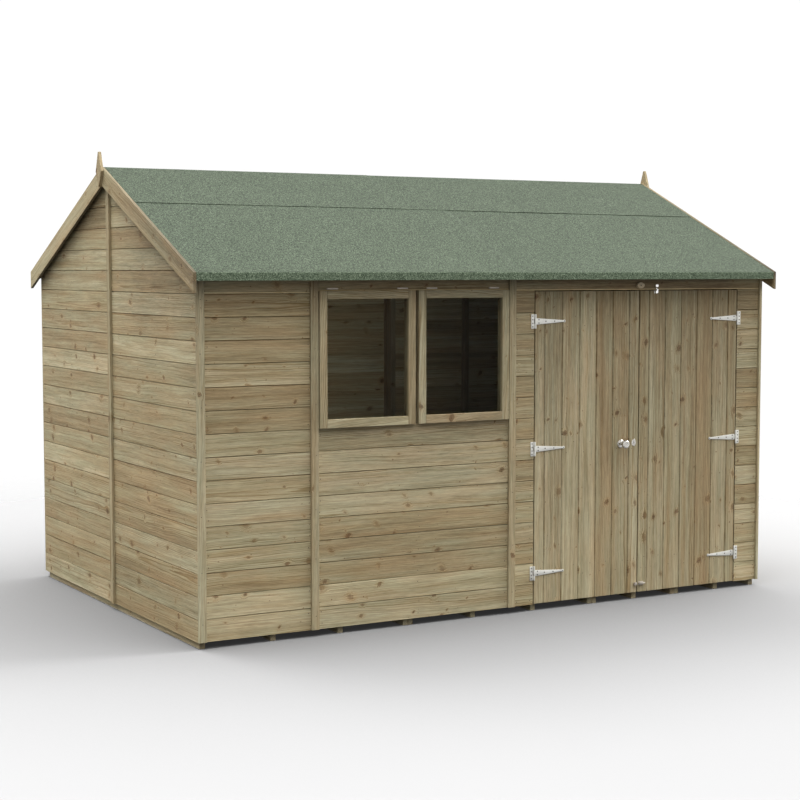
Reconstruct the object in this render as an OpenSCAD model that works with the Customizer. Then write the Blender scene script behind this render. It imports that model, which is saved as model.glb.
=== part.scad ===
/* [Walls] */
// Length of the shed over the gable boards
wall_l = 3600; // [3570:10:3700]
// Depth of the shed over the corner trims
wall_d = 2400; // [2360:10:2500]
// Cover of one cladding board
board_cover = 115; // [114:0.5:116]
// Thickness of the cladding boards
clad_t = 12; // [10:1:13]
// Width of the cover battens and corner trims
trim_w = 43; // [36:1:48]
// Width of the corner strips at the right-hand end
edge_w = 17; // [14:1:30]
// Thickness of the cover battens and corner trims
trim_t = 14; // [10:1:16]
// Width of the framing timber
stud_w = 34; // [28:1:36]
// Depth of the framing timber
stud_d = 44; // [38:1:46]

/* [Floor] */
// Width of one floor bearer
bearer_w = 30; // [24:1:34]
// Height of the floor bearers
bearer_h = 45; // [40:1:50]
// Thickness of the floor boards
floor_t = 12; // [10:1:18]
// Height of the cladding foot above the ground
clad_z = 36; // [34:1:40]

/* [Roof] */
// Roof pitch in degrees
roof_pitch = 24.1; // [23.5:0.1:24.5]
// Height of the felt at the ridge above the ground
ridge_z = 2433; // [2425:1:2445]
// Roof overhang in front of the corner trims
eaves_over = 70; // [60:1:80]
// Roof overhang beyond the gable boards
gable_over = 26; // [22:1:30]
// Thickness of the roof boards
deck_t = 12; // [10:1:16]
// Thickness of the roofing felt
felt_t = 3; // [2:0.5:4]
// Height of the felt fold at the eaves
felt_drop = 40; // [35:1:45]
// Width of the ridge sheet on each slope
ridge_sheet = 530; // [480:5:560]
// Height of the bargeboard's plumb end
barge_h = 101; // [95:1:105]
// Thickness of the bargeboards
barge_t = 16; // [14:1:18]
// Overall height of a finial
finial_h = 191; // [180:1:200]
// Overall width of a finial
finial_w = 84; // [76:1:90]

/* [Doors] */
// Left edge of the doorway, from the left gable
door_x0 = 1993; // [1985:1:2000]
// Width of the doorway
door_w = 1431; // [1400:1:1440]
// Gap between the two leaves
door_seam = 8; // [7:1:10]
// Gap at the hinge side of each leaf
door_gap = 6; // [6:1:8]
// Thickness of the door boards
door_t = 12; // [11:1:14]
// Length of a hinge strap
strap_l = 201; // [180:1:220]
// Radius of the hinge pins
pin_r = 3; // [2.5:0.1:3.2]

/* [Windows] */
// Width of one casement
sash_w = 562; // [550:1:564]
// Height of the casements
sash_h = 700; // [690:1:700]
// Thickness of the casements
sash_t = 32; // [28:1:36]
// Width of the casement stiles
stile_w = 43; // [38:1:48]

/* [Hidden] */
$fn = 48;

// half sizes and wall planes
hx = wall_l / 2;
hy = wall_d / 2;
fy = hy - trim_t;          // outer face of the front and back cladding
iy = fy - clad_t;          // inner face of the front and back cladding
ix = hx - clad_t;          // inner face of the gable cladding
floor_z = bearer_h + floor_t;
// roof planes, each a height at the ridge that falls with the pitch
tp = tan(roof_pitch);
cp = cos(roof_pitch);
felt_v = felt_t / cp;
deck_v = deck_t / cp;
function z_felt(y) = ridge_z - tp * abs(y);
function z_deck(y) = z_felt(y) - felt_v;
function z_under(y) = z_deck(y) - deck_v;
eave_y = hy + eaves_over;
roof_x = hx + gable_over;
wall_top = z_under(fy) - 0.6;
plate_top = wall_top - 2;
// heights of the openings
sill_z = clad_z + 9 * board_cover;
head_z = clad_z + 15 * board_cover + 5;
sash_z = sill_z;
// panel joints along the front
joint1 = -hx + 645;
joint2 = -hx + 1844;
sash1 = -hx + 671;
sash2 = -hx + 1254;
sash_top = 42;              // height of a casement's top rail
sash_bot = 44;              // height of a casement's bottom rail
pane_in = 22;               // depth of the pane behind a casement's face
// doorway and leaves
dx0 = -hx + door_x0;
dx1 = dx0 + door_w;
leaf_w = (door_w - 2 * door_gap - door_seam) / 2;
leaf_z0 = clad_z + 3;
leaf_z1 = head_z - 5;
axis_l = dx0 + door_gap / 2;
axis_r = dx1 - door_gap / 2;
axis_y = -fy - 6;
hinge_z = [clad_z + 174, clad_z + 862, clad_z + 1561];
seam_x = (dx0 + dx1) / 2;
lock_z = clad_z + 862;
knob_x = -hx + 2584;
key_x = -hx + 2675;
spindle_r = 5;
ledge_t = 22;

// box between two corners
module box(a, b) { translate(a) cube(b - a); }
// outline in the Y-Z plane drawn along X
module along_x(x0, x1, pts) { translate([x0, 0, 0]) rotate([90, 0, 90]) linear_extrude(x1 - x0) polygon(pts); }
// outline in the X-Z plane drawn along Y from y0 back to y1
module along_y(y0, y1, pts) { translate([0, y1, 0]) rotate([90, 0, 0]) linear_extrude(y1 - y0) polygon(pts); }
// round bar along Y from y0 to y1
module bar_y(x, z, r, y0, y1) { translate([x, y1, z]) rotate([90, 0, 0]) cylinder(r = r, h = y1 - y0); }
// round bar along X from x0 to x1
module bar_x(y, z, r, x0, x1) { translate([x0, y, z]) rotate([0, 90, 0]) cylinder(r = r, h = x1 - x0); }

// ---------------------------------------------------------------- floor
bearer_c = [30, 418, 803, 1191.5, 1222.5, 1612, 2002, 2388.5, 2419.5, 2700, 2977.5, 3008.5, 3299];
module floor_bearers() {
  color("#6f5a3c") {
    for (c = bearer_c) box([-hx + c - bearer_w / 2 + (c == round(c) ? 0 : 0.5), -iy + 6, 0], [-hx + c + bearer_w / 2 - (c == round(c) ? 0 : 0.5), iy - 6, bearer_h]);
    box([hx - 15 - bearer_w, -iy + 6, 0], [hx - 15, iy - 6, bearer_h]);
  }
}
module floor_boards() { color("#a58a5c") box([-ix + 2, -iy + 6, bearer_h], [ix - 2, iy - 6, floor_z]); }

// ---------------------------------------------------------------- front wall
module front_slab(x0, x1, z0, z1) { color("#a3926a") box([x0, -fy, z0], [x1, -iy, z1]); }
module front_left_panel() { front_slab(-ix, joint1 - 1, clad_z, wall_top); }
module front_window_panel() { front_slab(joint1, joint2 - 1, clad_z, sill_z); }
module window_header() { front_slab(joint1, joint2 - 1, head_z + 5, wall_top); }
module door_side_left() { front_slab(joint2, dx0, clad_z, head_z); }
module door_side_right() { front_slab(dx1, ix, clad_z, head_z); }
module door_header() { front_slab(joint2, ix, head_z, wall_top); }

// upright, rail and rafter timbers, kept a little apart
module stud(x0, x1, y0, y1) { box([x0, y0, floor_z + stud_w + 1], [x1, y1, plate_top - stud_w - 1]); }
module front_frame() {
  y0 = -iy; y1 = -iy + stud_d;
  s1 = [joint1, joint1 + 48];
  s2 = [sash1 + sash_w - 27, sash2 + 27];
  s3 = [joint2 - 54, joint2 - 4];
  color("#9c8558") {
    box([-ix, y0, floor_z], [dx0, y1, floor_z + stud_w]);
    box([dx1, y0, floor_z], [ix, y1, floor_z + stud_w]);
    box([-ix, y0, plate_top - stud_w], [ix, y1, plate_top]);
    stud(-ix, -ix + stud_w, y0, y1);
    stud(s1[0], s1[1], y0, y1);
    stud(s2[0], s2[1], y0, y1);
    stud(s3[0], s3[1], y0, y1);
    stud(dx0 - stud_w, dx0, y0, y1);
    stud(dx1, dx1 + stud_w, y0, y1);
    stud(ix - stud_w, ix, y0, y1);
    for (r = [[s1[1] + 1, s2[0] - 1], [s2[1] + 1, s3[0] - 1]]) {
      box([r[0], y0, sill_z - 24], [r[1], y1, sill_z + 10]);
      box([r[0], y0, head_z - 9], [r[1], y1, head_z + 25]);
    }
    box([-ix + stud_w + 1, y0, sill_z - 110], [s1[0] - 1, y1, sill_z - 110 + stud_w]);
    box([dx0 + 1, y0, head_z + 5], [dx1 - 1, y1, head_z + 60]);
  }
}

// ---------------------------------------------------------------- gables and back
// one half of a gable, from the front or back corner to the middle joint
module gable_half(s, t) {
  along_x(s < 0 ? -hx : ix, s < 0 ? -ix : hx,
    [[t * 1, clad_z], [t * fy, clad_z], [t * fy, z_under(fy) - 0.6], [t * 1, z_under(1) - 0.6]]);
}
module left_gable_panels() { color("#8f8260") { gable_half(-1, -1); gable_half(-1, 1); } }
module right_gable_panels() { color("#8f8260") { gable_half(1, -1); gable_half(1, 1); } }
module back_wall_panels() {
  color("#8f8260") {
    box([-ix, iy, clad_z], [-601, fy, wall_top]);
    box([-599, iy, clad_z], [599, fy, wall_top]);
    box([601, iy, clad_z], [ix, fy, wall_top]);
  }
}
module back_frame() {
  y0 = iy - stud_d; y1 = iy;
  color("#9c8558") {
    box([-ix, y0, floor_z], [ix, y1, floor_z + stud_w]);
    box([-ix, y0, plate_top - stud_w], [ix, y1, plate_top]);
    stud(-ix, -ix + stud_w, y0, y1);
    stud(ix - stud_w, ix, y0, y1);
    for (x = [-1200, -617, -583, 0, 583, 617, 1200]) stud(x - stud_w / 2 + 0.5, x + stud_w / 2 - 0.5, y0, y1);
  }
}
module gable_frame(s) {
  x0 = s < 0 ? -ix : ix - stud_d;
  x1 = x0 + stud_d;
  ye = iy - stud_d - 2;
  box([x0, -ye, floor_z], [x1, ye, floor_z + stud_w]);
  box([x0, -ye, plate_top - stud_w], [x1, ye, plate_top]);
  for (y = [-ye + stud_w / 2, -660, -18, 18, 660, ye - stud_w / 2]) stud(x0, x1, y - stud_w / 2, y + stud_w / 2);
  box([x0, -stud_w / 2, plate_top + 1], [x1, stud_w / 2, z_under(stud_w) - 2]);
  for (t = [-1, 1])
    along_x(x0, x1, [[t * 20, z_under(20) - 0.5], [t * 1070, z_under(1070) - 0.5], [t * 1070, z_under(1070) - 38], [t * 20, z_under(20) - 38]]);
}
module gable_frames() { color("#9c8558") { gable_frame(-1); gable_frame(1); } }

// upright strips that cover the panel joints
module cover_battens() {
  zt = z_under(hy) - 1;
  color("#aa9d74") {
    box([joint1 - 21, -hy, clad_z], [joint1 - 21 + trim_w, -fy, zt]);
    box([joint2 - 21, -hy, clad_z], [joint2 - 21 + trim_w, -fy, zt]);
    for (x = [-600, 600]) box([x - trim_w / 2, fy, clad_z], [x + trim_w / 2, hy, zt]);
    for (s = [-1, 1]) box([s < 0 ? -hx - trim_t : hx, -5 - trim_w / 2, clad_z], [s < 0 ? -hx : hx + trim_t, -5 + trim_w / 2, z_under(30) - 2]);
  }
}
module corner_trims() {
  zt = z_under(hy) - 1;
  color("#aa9d74")
    for (c = [[-hx, -hx + trim_w], [hx - edge_w, hx]]) {
      box([c[0], -hy, clad_z], [c[1], -fy, zt]);
      box([c[0], fy, clad_z], [c[1], hy, zt]);
    }
}

// ---------------------------------------------------------------- windows
// casement of two stiles and two rails with a rebate for the pane
module casement(x0) {
  y0 = -iy - sash_t; y1 = -iy;
  z0 = sash_z; z1 = sash_z + sash_h; x1 = x0 + sash_w;
  color("#a89a70")
    difference() {
      union() {
        box([x0, y0, z0], [x0 + stile_w, y1, z1]);
        box([x1 - stile_w, y0, z0], [x1, y1, z1]);
        box([x0 + stile_w + 0.5, y0, z0], [x1 - stile_w - 0.5, y1, z0 + sash_bot]);
        box([x0 + stile_w + 0.5, y0, z1 - sash_top], [x1 - stile_w - 0.5, y1, z1]);
      }
      box([x0 + stile_w - 8, y0 + pane_in, z0 + sash_bot - 8], [x1 - stile_w + 8, y1 + 1, z1 - sash_top + 8]);
    }
}
module left_casement() { casement(sash1); }
module right_casement() { casement(sash2); }
module window_glass() {
  y0 = -iy - sash_t + pane_in;
  color("#2c3230", 0.5)
    for (x0 = [sash1, sash2]) box([x0 + stile_w - 7, y0, sash_z + sash_bot - 7], [x0 + sash_w - stile_w + 7, y0 + 4, sash_z + sash_h - sash_top + 7]);
}
// butt hinges along the heads of the casements
module window_hinges() {
  z = sash_z + sash_h + 10;
  color("#c9c4b8")
    for (c = [752, 1162, 1340, 1727]) {
      bar_x(-fy - 4.5, z, 3.5, -hx + c - 31, -hx + c + 31);
      box([-hx + c - 31, -fy - 2, z - 3.5], [-hx + c + 31, -fy, z + 4.5]);
    }
}

// ---------------------------------------------------------------- doors
// one leaf of upright boards, drilled for the lock spindle on the left leaf
module left_door_boards() {
  color("#a08a5e")
    difference() {
      box([dx0 + door_gap, -fy, leaf_z0], [dx0 + door_gap + leaf_w, -fy + door_t, leaf_z1]);
      bar_y(knob_x, lock_z, 9, -fy - 1, -fy + door_t + 1);
    }
}
module right_door_boards() {
  color("#a08a5e") box([dx1 - door_gap - leaf_w, -fy, leaf_z0], [dx1 - door_gap, -fy + door_t, leaf_z1]);
}
// three ledges and two braces on the back of a leaf; s is +1 for hinges on the left
module ledge_set(xh, s, drilled) {
  y0 = -fy + door_t; y1 = y0 + ledge_t;
  a = xh + s * 30; b = xh + s * (leaf_w - 28);
  lh = 50;
  difference() {
    for (z = hinge_z) box([min(a, b), y0, z - lh], [max(a, b), y1, z + lh]);
    if (drilled) bar_y(knob_x, lock_z, 9, y0 - 1, y1 + 1);
  }
  for (i = [0, 1]) {
    z0 = hinge_z[i] + lh + 1; z1 = hinge_z[i + 1] - lh - 1;
    along_y(y0, y1, [[a + s * 10, z0], [a + s * 100, z0], [b - s * 10, z1], [b - s * 100, z1]]);
  }
}
module left_door_ledges() { color("#9c8558") ledge_set(dx0 + door_gap, 1, true); }
module right_door_ledges() { color("#9c8558") ledge_set(dx1 - door_gap, -1, false); }

// tapered strap with a round tip, drawn from the hinge axis
function strap_outline(s) = concat(
  [[s * 3, -17], [s * 12, -17]], [[s * (strap_l - 18), -5.2]],
  [for (i = [-5 : 5]) let (a = i * 26) [s * (strap_l - 7.5 + 7.5 * cos(a)), 7.5 * sin(a)]],
  [[s * (strap_l - 18), 5.2], [s * 12, 17], [s * 3, 17]]);
module strap(xa, z, s) {
  difference() {
    union() {
      translate([xa, 0, z]) along_y(-fy - 3, -fy, strap_outline(s));
      box([min(xa, xa + s * 8), -fy - 3, z - 12], [max(xa, xa + s * 8), -fy, z + 12]);
      translate([xa, axis_y, z - 12]) cylinder(r = 5, h = 24);
    }
    translate([xa, axis_y, z - 20]) cylinder(r = pin_r + 0.05, h = 40);
    box([xa - 8, axis_y - 8, z + 12], [xa + 8, -fy + 1, z + 20]);
    box([xa - 8, axis_y - 8, z - 20], [xa + 8, -fy + 1, z - 12]);
  }
}
// fixed plate with two knuckles and the pin
module hinge_plate(xa, z, s) {
  h = 39;
  box([min(xa - s * 25, xa - s * 7), -fy - 2.5, z - h], [max(xa - s * 25, xa - s * 7), -fy, z + h]);
  for (t = [-1, 1]) {
    zl = t < 0 ? z - h : z + 13;
    box([min(xa - s * 8, xa), -fy - 2.5, zl], [max(xa - s * 8, xa), -fy, zl + h - 13]);
    translate([xa, axis_y, zl]) cylinder(r = 5, h = h - 13);
  }
  translate([xa, axis_y, z - h]) cylinder(r = pin_r, h = 2 * h);
}
module left_door_straps() { color("#d5d3cb") for (z = hinge_z) strap(axis_l, z, 1); }
module right_door_straps() { color("#d5d3cb") for (z = hinge_z) strap(axis_r, z, -1); }
module left_hinge_plates() { color("#d5d3cb") for (z = hinge_z) hinge_plate(axis_l, z, 1); }
module right_hinge_plates() { color("#d5d3cb") for (z = hinge_z) hinge_plate(axis_r, z, -1); }

// knobs inside and out on one spindle; the outline is radius against distance out from the door face
knob_out = [[0, 5.5], [9, 5.5], [8, 12], [7.5, 24], [9, 32], [14, 37], [21, 40], [24.5, 44], [25, 48], [23.5, 53], [20, 57], [15, 59], [9, 57.5], [0, 56.5]];
module door_knob() {
  yi = -fy + door_t + ledge_t + 25;
  color("#cfcac0") {
    translate([knob_x, -fy, lock_z]) rotate([90, 0, 0]) rotate_extrude() polygon(knob_out);
    bar_y(knob_x, lock_z, spindle_r, -fy - 8, yi + 4);
    translate([knob_x, yi + 0.5, lock_z]) rotate([-90, 0, 0]) rotate_extrude() polygon([[0, 0], [11, 0], [8, 5], [8, 14], [17, 20], [20, 27], [17, 33], [9, 35], [0, 35.5]]);
  }
}
// rose round the knob and keyhole plate beside it
module lock_plates() {
  color("#cfcac0") {
    difference() {
      translate([knob_x, -fy, lock_z]) rotate([90, 0, 0]) rotate_extrude() polygon([[0, 0], [23, 0], [23, 2], [20, 4], [12, 5], [0, 5]]);
      bar_y(knob_x, lock_z, spindle_r + 0.05, -fy - 10, -fy + 1);
    }
    translate([key_x, 0, lock_z + 2]) along_y(-fy - 2, -fy, [for (i = [0 : 31]) [15 * cos(i * 360 / 32), 19.5 * sin(i * 360 / 32)]]);
  }
}
// lock case on the middle ledge inside
module rim_lock() {
  y0 = -fy + door_t + ledge_t;
  color("#4a4640")
    difference() {
      box([knob_x - 40, y0, lock_z - 45], [knob_x + 105, y0 + 25, lock_z + 45]);
      bar_y(knob_x, lock_z, spindle_r + 0.05, y0 - 1, y0 + 26);
    }
}
// oval wooden button over the seam
module turn_button() {
  color("#a3946a") translate([seam_x - 2, 0, clad_z + 1754]) along_y(-fy - 14, -fy, [for (i = [0 : 39]) [25 * cos(i * 9), 16.5 * sin(i * 9)]]);
}
// small bolt at the head of the right leaf, drawn back
bolt_x = -hx + 2820;
module top_bolt() {
  color("#d8d6ce") {
    box([bolt_x - 10, -fy - 2, head_z - 21], [bolt_x + 10, -fy, head_z - 6]);
    box([bolt_x - 8, -fy - 14.5, head_z - 19], [bolt_x + 8, -fy - 2, head_z - 8]);
    translate([bolt_x, -fy - 9, head_z - 22]) cylinder(r = 4, h = 31.5);
    bar_y(bolt_x, head_z - 2, 5, -fy - 20, -fy - 11);
  }
}
module top_bolt_keeper() {
  color("#d8d6ce")
    difference() {
      box([bolt_x - 9, -fy - 15, head_z + 15], [bolt_x + 9, -fy, head_z + 29]);
      translate([bolt_x, -fy - 9, head_z + 10]) cylinder(r = 4.6, h = 30);
    }
}
// bolt across the foot of the seam, drawn back into the right leaf
foot_z = clad_z + 53;
module bottom_bolt() {
  x0 = seam_x + door_seam / 2 + 5;
  color("#b5a593") {
    box([x0, -fy - 2, foot_z - 10], [x0 + 34, -fy, foot_z + 10]);
    box([x0 + 4, -fy - 13, foot_z - 6], [x0 + 30, -fy - 2, foot_z + 6]);
    bar_x(-fy - 8, foot_z, 3.5, x0 - 3, x0 + 40);
  }
}
module bottom_bolt_keeper() {
  x1 = seam_x - door_seam / 2 - 3;
  color("#b5a593")
    difference() {
      box([x1 - 18, -fy - 13, foot_z - 8], [x1, -fy, foot_z + 8]);
      bar_x(-fy - 8, foot_z, 4, x1 - 30, x1 + 10);
    }
}

// ---------------------------------------------------------------- roof
// one slope of roof boards; t is -1 at the front and +1 at the back
module slope_deck(t) {
  e = eave_y - felt_t - 0.5;
  along_x(-roof_x, roof_x, [[t * 0.5, z_deck(0.5)], [t * e, z_deck(e)], [t * e, z_under(e)], [t * 0.5, z_under(0.5)]]);
}
module roof_deck_front() { color("#a58a5c") slope_deck(-1); }
module roof_deck_back() { color("#a58a5c") slope_deck(1); }
// felt on each slope, folded down over the eaves
module roof_felt() {
  zb = z_felt(eave_y) - felt_drop;
  color("#5c6650")
    for (t = [-1, 1])
      along_x(-roof_x, roof_x, [[t * 0.5, z_felt(0.5)], [t * eave_y, z_felt(eave_y)], [t * eave_y, zb],
        [t * (eave_y - felt_t), zb], [t * (eave_y - felt_t), z_deck(eave_y - felt_t)], [t * 0.5, z_deck(0.5)]]);
}
// sheet laid over the ridge
module ridge_felt() {
  w = ridge_sheet * cp;
  g = 0.3; // bedding gap under the sheet
  color("#56604a")
    along_x(-roof_x, roof_x, [[0, z_felt(0) + g], [w, z_felt(w) + g], [w, z_felt(w) + felt_v], [0, z_felt(0) + felt_v], [-w, z_felt(w) + felt_v], [-w, z_felt(w) + g]]);
}
module eaves_battens() {
  e = eave_y - felt_t - 0.5;
  zb = z_felt(eave_y) - felt_drop + 2;
  color("#9c8558")
    for (t = [-1, 1]) along_x(-roof_x, roof_x, [[t * e, zb], [t * e, z_under(e) - 0.3], [t * (e - 20), z_under(e - 20) - 0.3], [t * (e - 20), zb]]);
}
// roof timbers that run from gable to gable
module purlins() {
  x = ix - stud_d - 1;
  color("#9c8558")
    for (t = [-1, 1], y = [60, 620])
      along_x(-x, x, [[t * y, z_under(y) - 0.3], [t * (y + 34), z_under(y + 34) - 0.3], [t * (y + 34), z_under(y) - 72], [t * y, z_under(y) - 72]]);
}
// pairs of boards up the gable edges, plumb at the ridge and the eaves
module bargeboards() {
  color("#a39163")
    for (s = [-1, 1], t = [-1, 1])
      along_x(s < 0 ? -roof_x - barge_t - 0.5 : roof_x + 0.5, s < 0 ? -roof_x - 0.5 : roof_x + barge_t + 0.5,
        [[t * 0.4, z_felt(0.4) + felt_v], [t * eave_y, z_felt(eave_y) + 1], [t * eave_y, z_felt(eave_y) + 1 - barge_h], [t * 0.4, z_felt(0.4) + felt_v - barge_h]]);
}
// kite shaped boards over the bargeboard joints
module finials() {
  top = ridge_z + 83; mid = top - 105; low = top - finial_h;
  b = roof_x + barge_t + 0.5;
  color("#a39163")
    for (s = [-1, 1])
      along_x(s < 0 ? -b - 16 : b, s < 0 ? -b : b + 16, [[-5, top], [5, top], [finial_w / 2, mid], [3, low], [-3, low], [-finial_w / 2, mid]]);
}

floor_bearers();
floor_boards();
front_left_panel();
front_window_panel();
window_header();
door_side_left();
door_side_right();
door_header();
left_gable_panels();
right_gable_panels();
back_wall_panels();
front_frame();
back_frame();
gable_frames();
cover_battens();
corner_trims();
left_casement();
right_casement();
window_glass();
window_hinges();
left_door_boards();
left_door_ledges();
left_door_straps();
left_hinge_plates();
right_door_boards();
right_door_ledges();
right_door_straps();
right_hinge_plates();
door_knob();
lock_plates();
rim_lock();
turn_button();
top_bolt();
top_bolt_keeper();
bottom_bolt();
bottom_bolt_keeper();
roof_deck_front();
roof_deck_back();
roof_felt();
ridge_felt();
eaves_battens();
purlins();
bargeboards();
finials();
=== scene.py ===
import math, random
import bpy, bmesh
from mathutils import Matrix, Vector, noise


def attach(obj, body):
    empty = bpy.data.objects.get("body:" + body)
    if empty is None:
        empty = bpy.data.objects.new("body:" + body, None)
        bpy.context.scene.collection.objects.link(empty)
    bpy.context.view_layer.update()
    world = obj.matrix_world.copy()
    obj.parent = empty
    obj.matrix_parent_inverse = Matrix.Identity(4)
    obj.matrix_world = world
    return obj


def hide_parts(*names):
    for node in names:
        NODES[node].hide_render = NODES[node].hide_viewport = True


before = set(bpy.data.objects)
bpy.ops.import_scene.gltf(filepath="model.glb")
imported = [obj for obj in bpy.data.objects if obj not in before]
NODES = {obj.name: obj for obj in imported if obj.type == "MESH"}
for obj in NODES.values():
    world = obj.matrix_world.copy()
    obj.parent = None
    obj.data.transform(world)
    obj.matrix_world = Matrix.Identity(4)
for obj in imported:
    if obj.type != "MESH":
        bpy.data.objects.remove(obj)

scene = bpy.context.scene
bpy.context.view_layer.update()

# ------------------------------------------------------------------ camera
cam_data = bpy.data.cameras.new("camera")
cam = bpy.data.objects.new("camera", cam_data)
scene.collection.objects.link(cam)
cam_data.sensor_width = 36.0
cam_data.lens = 77.12
cam_data.clip_end = 200
cam.location = (-5.0702, -8.9430, 1.8753)
cam.rotation_mode = "QUATERNION"
cam.rotation_quaternion = Vector((0.4936, 0.8664, -0.0755)).to_track_quat("-Z", "Y")
scene.camera = cam

# ------------------------------------------------------------------ sizes, in millimetres
HX, HY, FY, IY, IX = 1800.0, 1200.0, 1186.0, 1174.0, 1788.0
CLAD_Z, COVER, T = 36.0, 115.0, 12.0
TP = math.tan(math.radians(24.1)); CP = math.cos(math.radians(24.1)); SP = math.sin(math.radians(24.1))
RIDGE, FELT_V, DECK_V = 2433.0, 3.0 / CP, 12.0 / CP
EAVE, ROOF_X = 1270.0, 1826.0
JOINT1, JOINT2 = -1155.0, 44.0
DX0, DX1 = 193.0, 1624.0
SILL, HEAD = 1071.0, 1766.0
HINGE_Z = (210.0, 898.0, 1597.0)
def z_felt(y): return RIDGE - TP * abs(y)
def z_deck(y): return z_felt(y) - FELT_V
def z_under(y): return z_deck(y) - DECK_V
WALL_TOP = z_under(FY) - 0.6

X, Y, Z = Vector((1, 0, 0)), Vector((0, 1, 0)), Vector((0, 0, 1))


# ------------------------------------------------------------------ mesh making
class Bag:
    """Collects the faces of one piece, in millimetres, with grain place and tone at each corner."""
    def __init__(self):
        self.v, self.f, self.gr, self.tn, self.sm = [], [], [], [], []

    def face(self, idx, gr, tn, smooth=False):
        self.f.append(idx); self.gr.extend(gr); self.tn.extend(tn); self.sm.append(smooth)


def make(name, bag, mat, body, nodes=(), sharp=None):
    me = bpy.data.meshes.new(name)
    me.from_pydata([(p[0] * 0.001, p[1] * 0.001, p[2] * 0.001) for p in bag.v], [], bag.f)
    a = me.attributes.new("gr", "FLOAT_VECTOR", "CORNER")
    a.data.foreach_set("vector", [c for t in bag.gr for c in t])
    b = me.attributes.new("tn", "FLOAT_VECTOR", "CORNER")
    b.data.foreach_set("vector", [c for t in bag.tn for c in t])
    me.polygons.foreach_set("use_smooth", bag.sm)
    bm = bmesh.new(); bm.from_mesh(me)
    bmesh.ops.recalc_face_normals(bm, faces=bm.faces[:])
    bm.to_mesh(me); bm.free()
    if sharp:
        me.set_sharp_from_angle(angle=math.radians(sharp))
    me.materials.append(mat)
    me.update()
    o = bpy.data.objects.new(name, me)
    scene.collection.objects.link(o)
    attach(o, body)
    if nodes:
        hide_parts(*nodes)
    return o


def painted_light_and_shade(p):
    """Painted light and shade on the wall boards: shade under the eave on the front, darkest just under the fold, shade
    under the sill on the window panel, shade under the bargeboards on the gables, and painted light at the right end of
    the front wall.
    """
    if 1780.0 < abs(p.x) < 1803.0 and p.y > 0.0:
        # painted shadow on the gable close under the rear half of its bargeboard
        return -8.0 * max(0.0, 1.0 - max(0.0, z_under(p.y) - p.z) / 110.0)
    if -1803.0 < p.x < -1780.0 and p.y > -1180.0:
        # painted shade on the gable under the front half of its bargeboard
        return -3.2 * max(0.0, min(1.0, (p.z - 1350.0) / 450.0)) * max(0.0, min(1.0, (-p.y - 60.0) / 450.0))
    if p.y >= -1150.0:
        return 0.0
    # front corner strip: painted light low down, painted shade higher up under the eave
    if 1780.0 < p.x < 1803.0:
        return 1.3 - 1.6 * (1.0 - painted_eave_shade_ramp(p))
    # painted light at the right end of the front wall; painted shade under the sill on the window panel, under the eave
    # over the whole front, and darkest just under the fold
    end = (0.6 + 1.3 * max(0.0, min(1.0, (p.x - 1640.0) / 140.0))) if p.x > 1622.0 and p.z < HEAD else 0.0
    k = 2.6 + 0.9 * max(0.0, min(1.0, (p.x + 1250.0) / 200.0)) + 0.7 * max(0.0, min(1.0, p.x / 250.0))
    return end + (-0.7 if -1130.0 < p.x < 30.0 and p.z < SILL else 0.0) - k * (1.0 - painted_eave_shade_ramp(p)) - 3.6 * max(0.0, min(1.0, (p.z - 1785.0) / 48.0))


def painted_eave_shade_ramp(p):
    """Ramp of the painted eave shade on the front wall: 1 at its foot, where the boards are painted lightest, and 0
    from the heads of the doors up.
    """
    return 1.0 - max(0.0, min(1.0, (p.z - 250.0) / 1450.0)) if p.y < -1150.0 else 0.0


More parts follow.
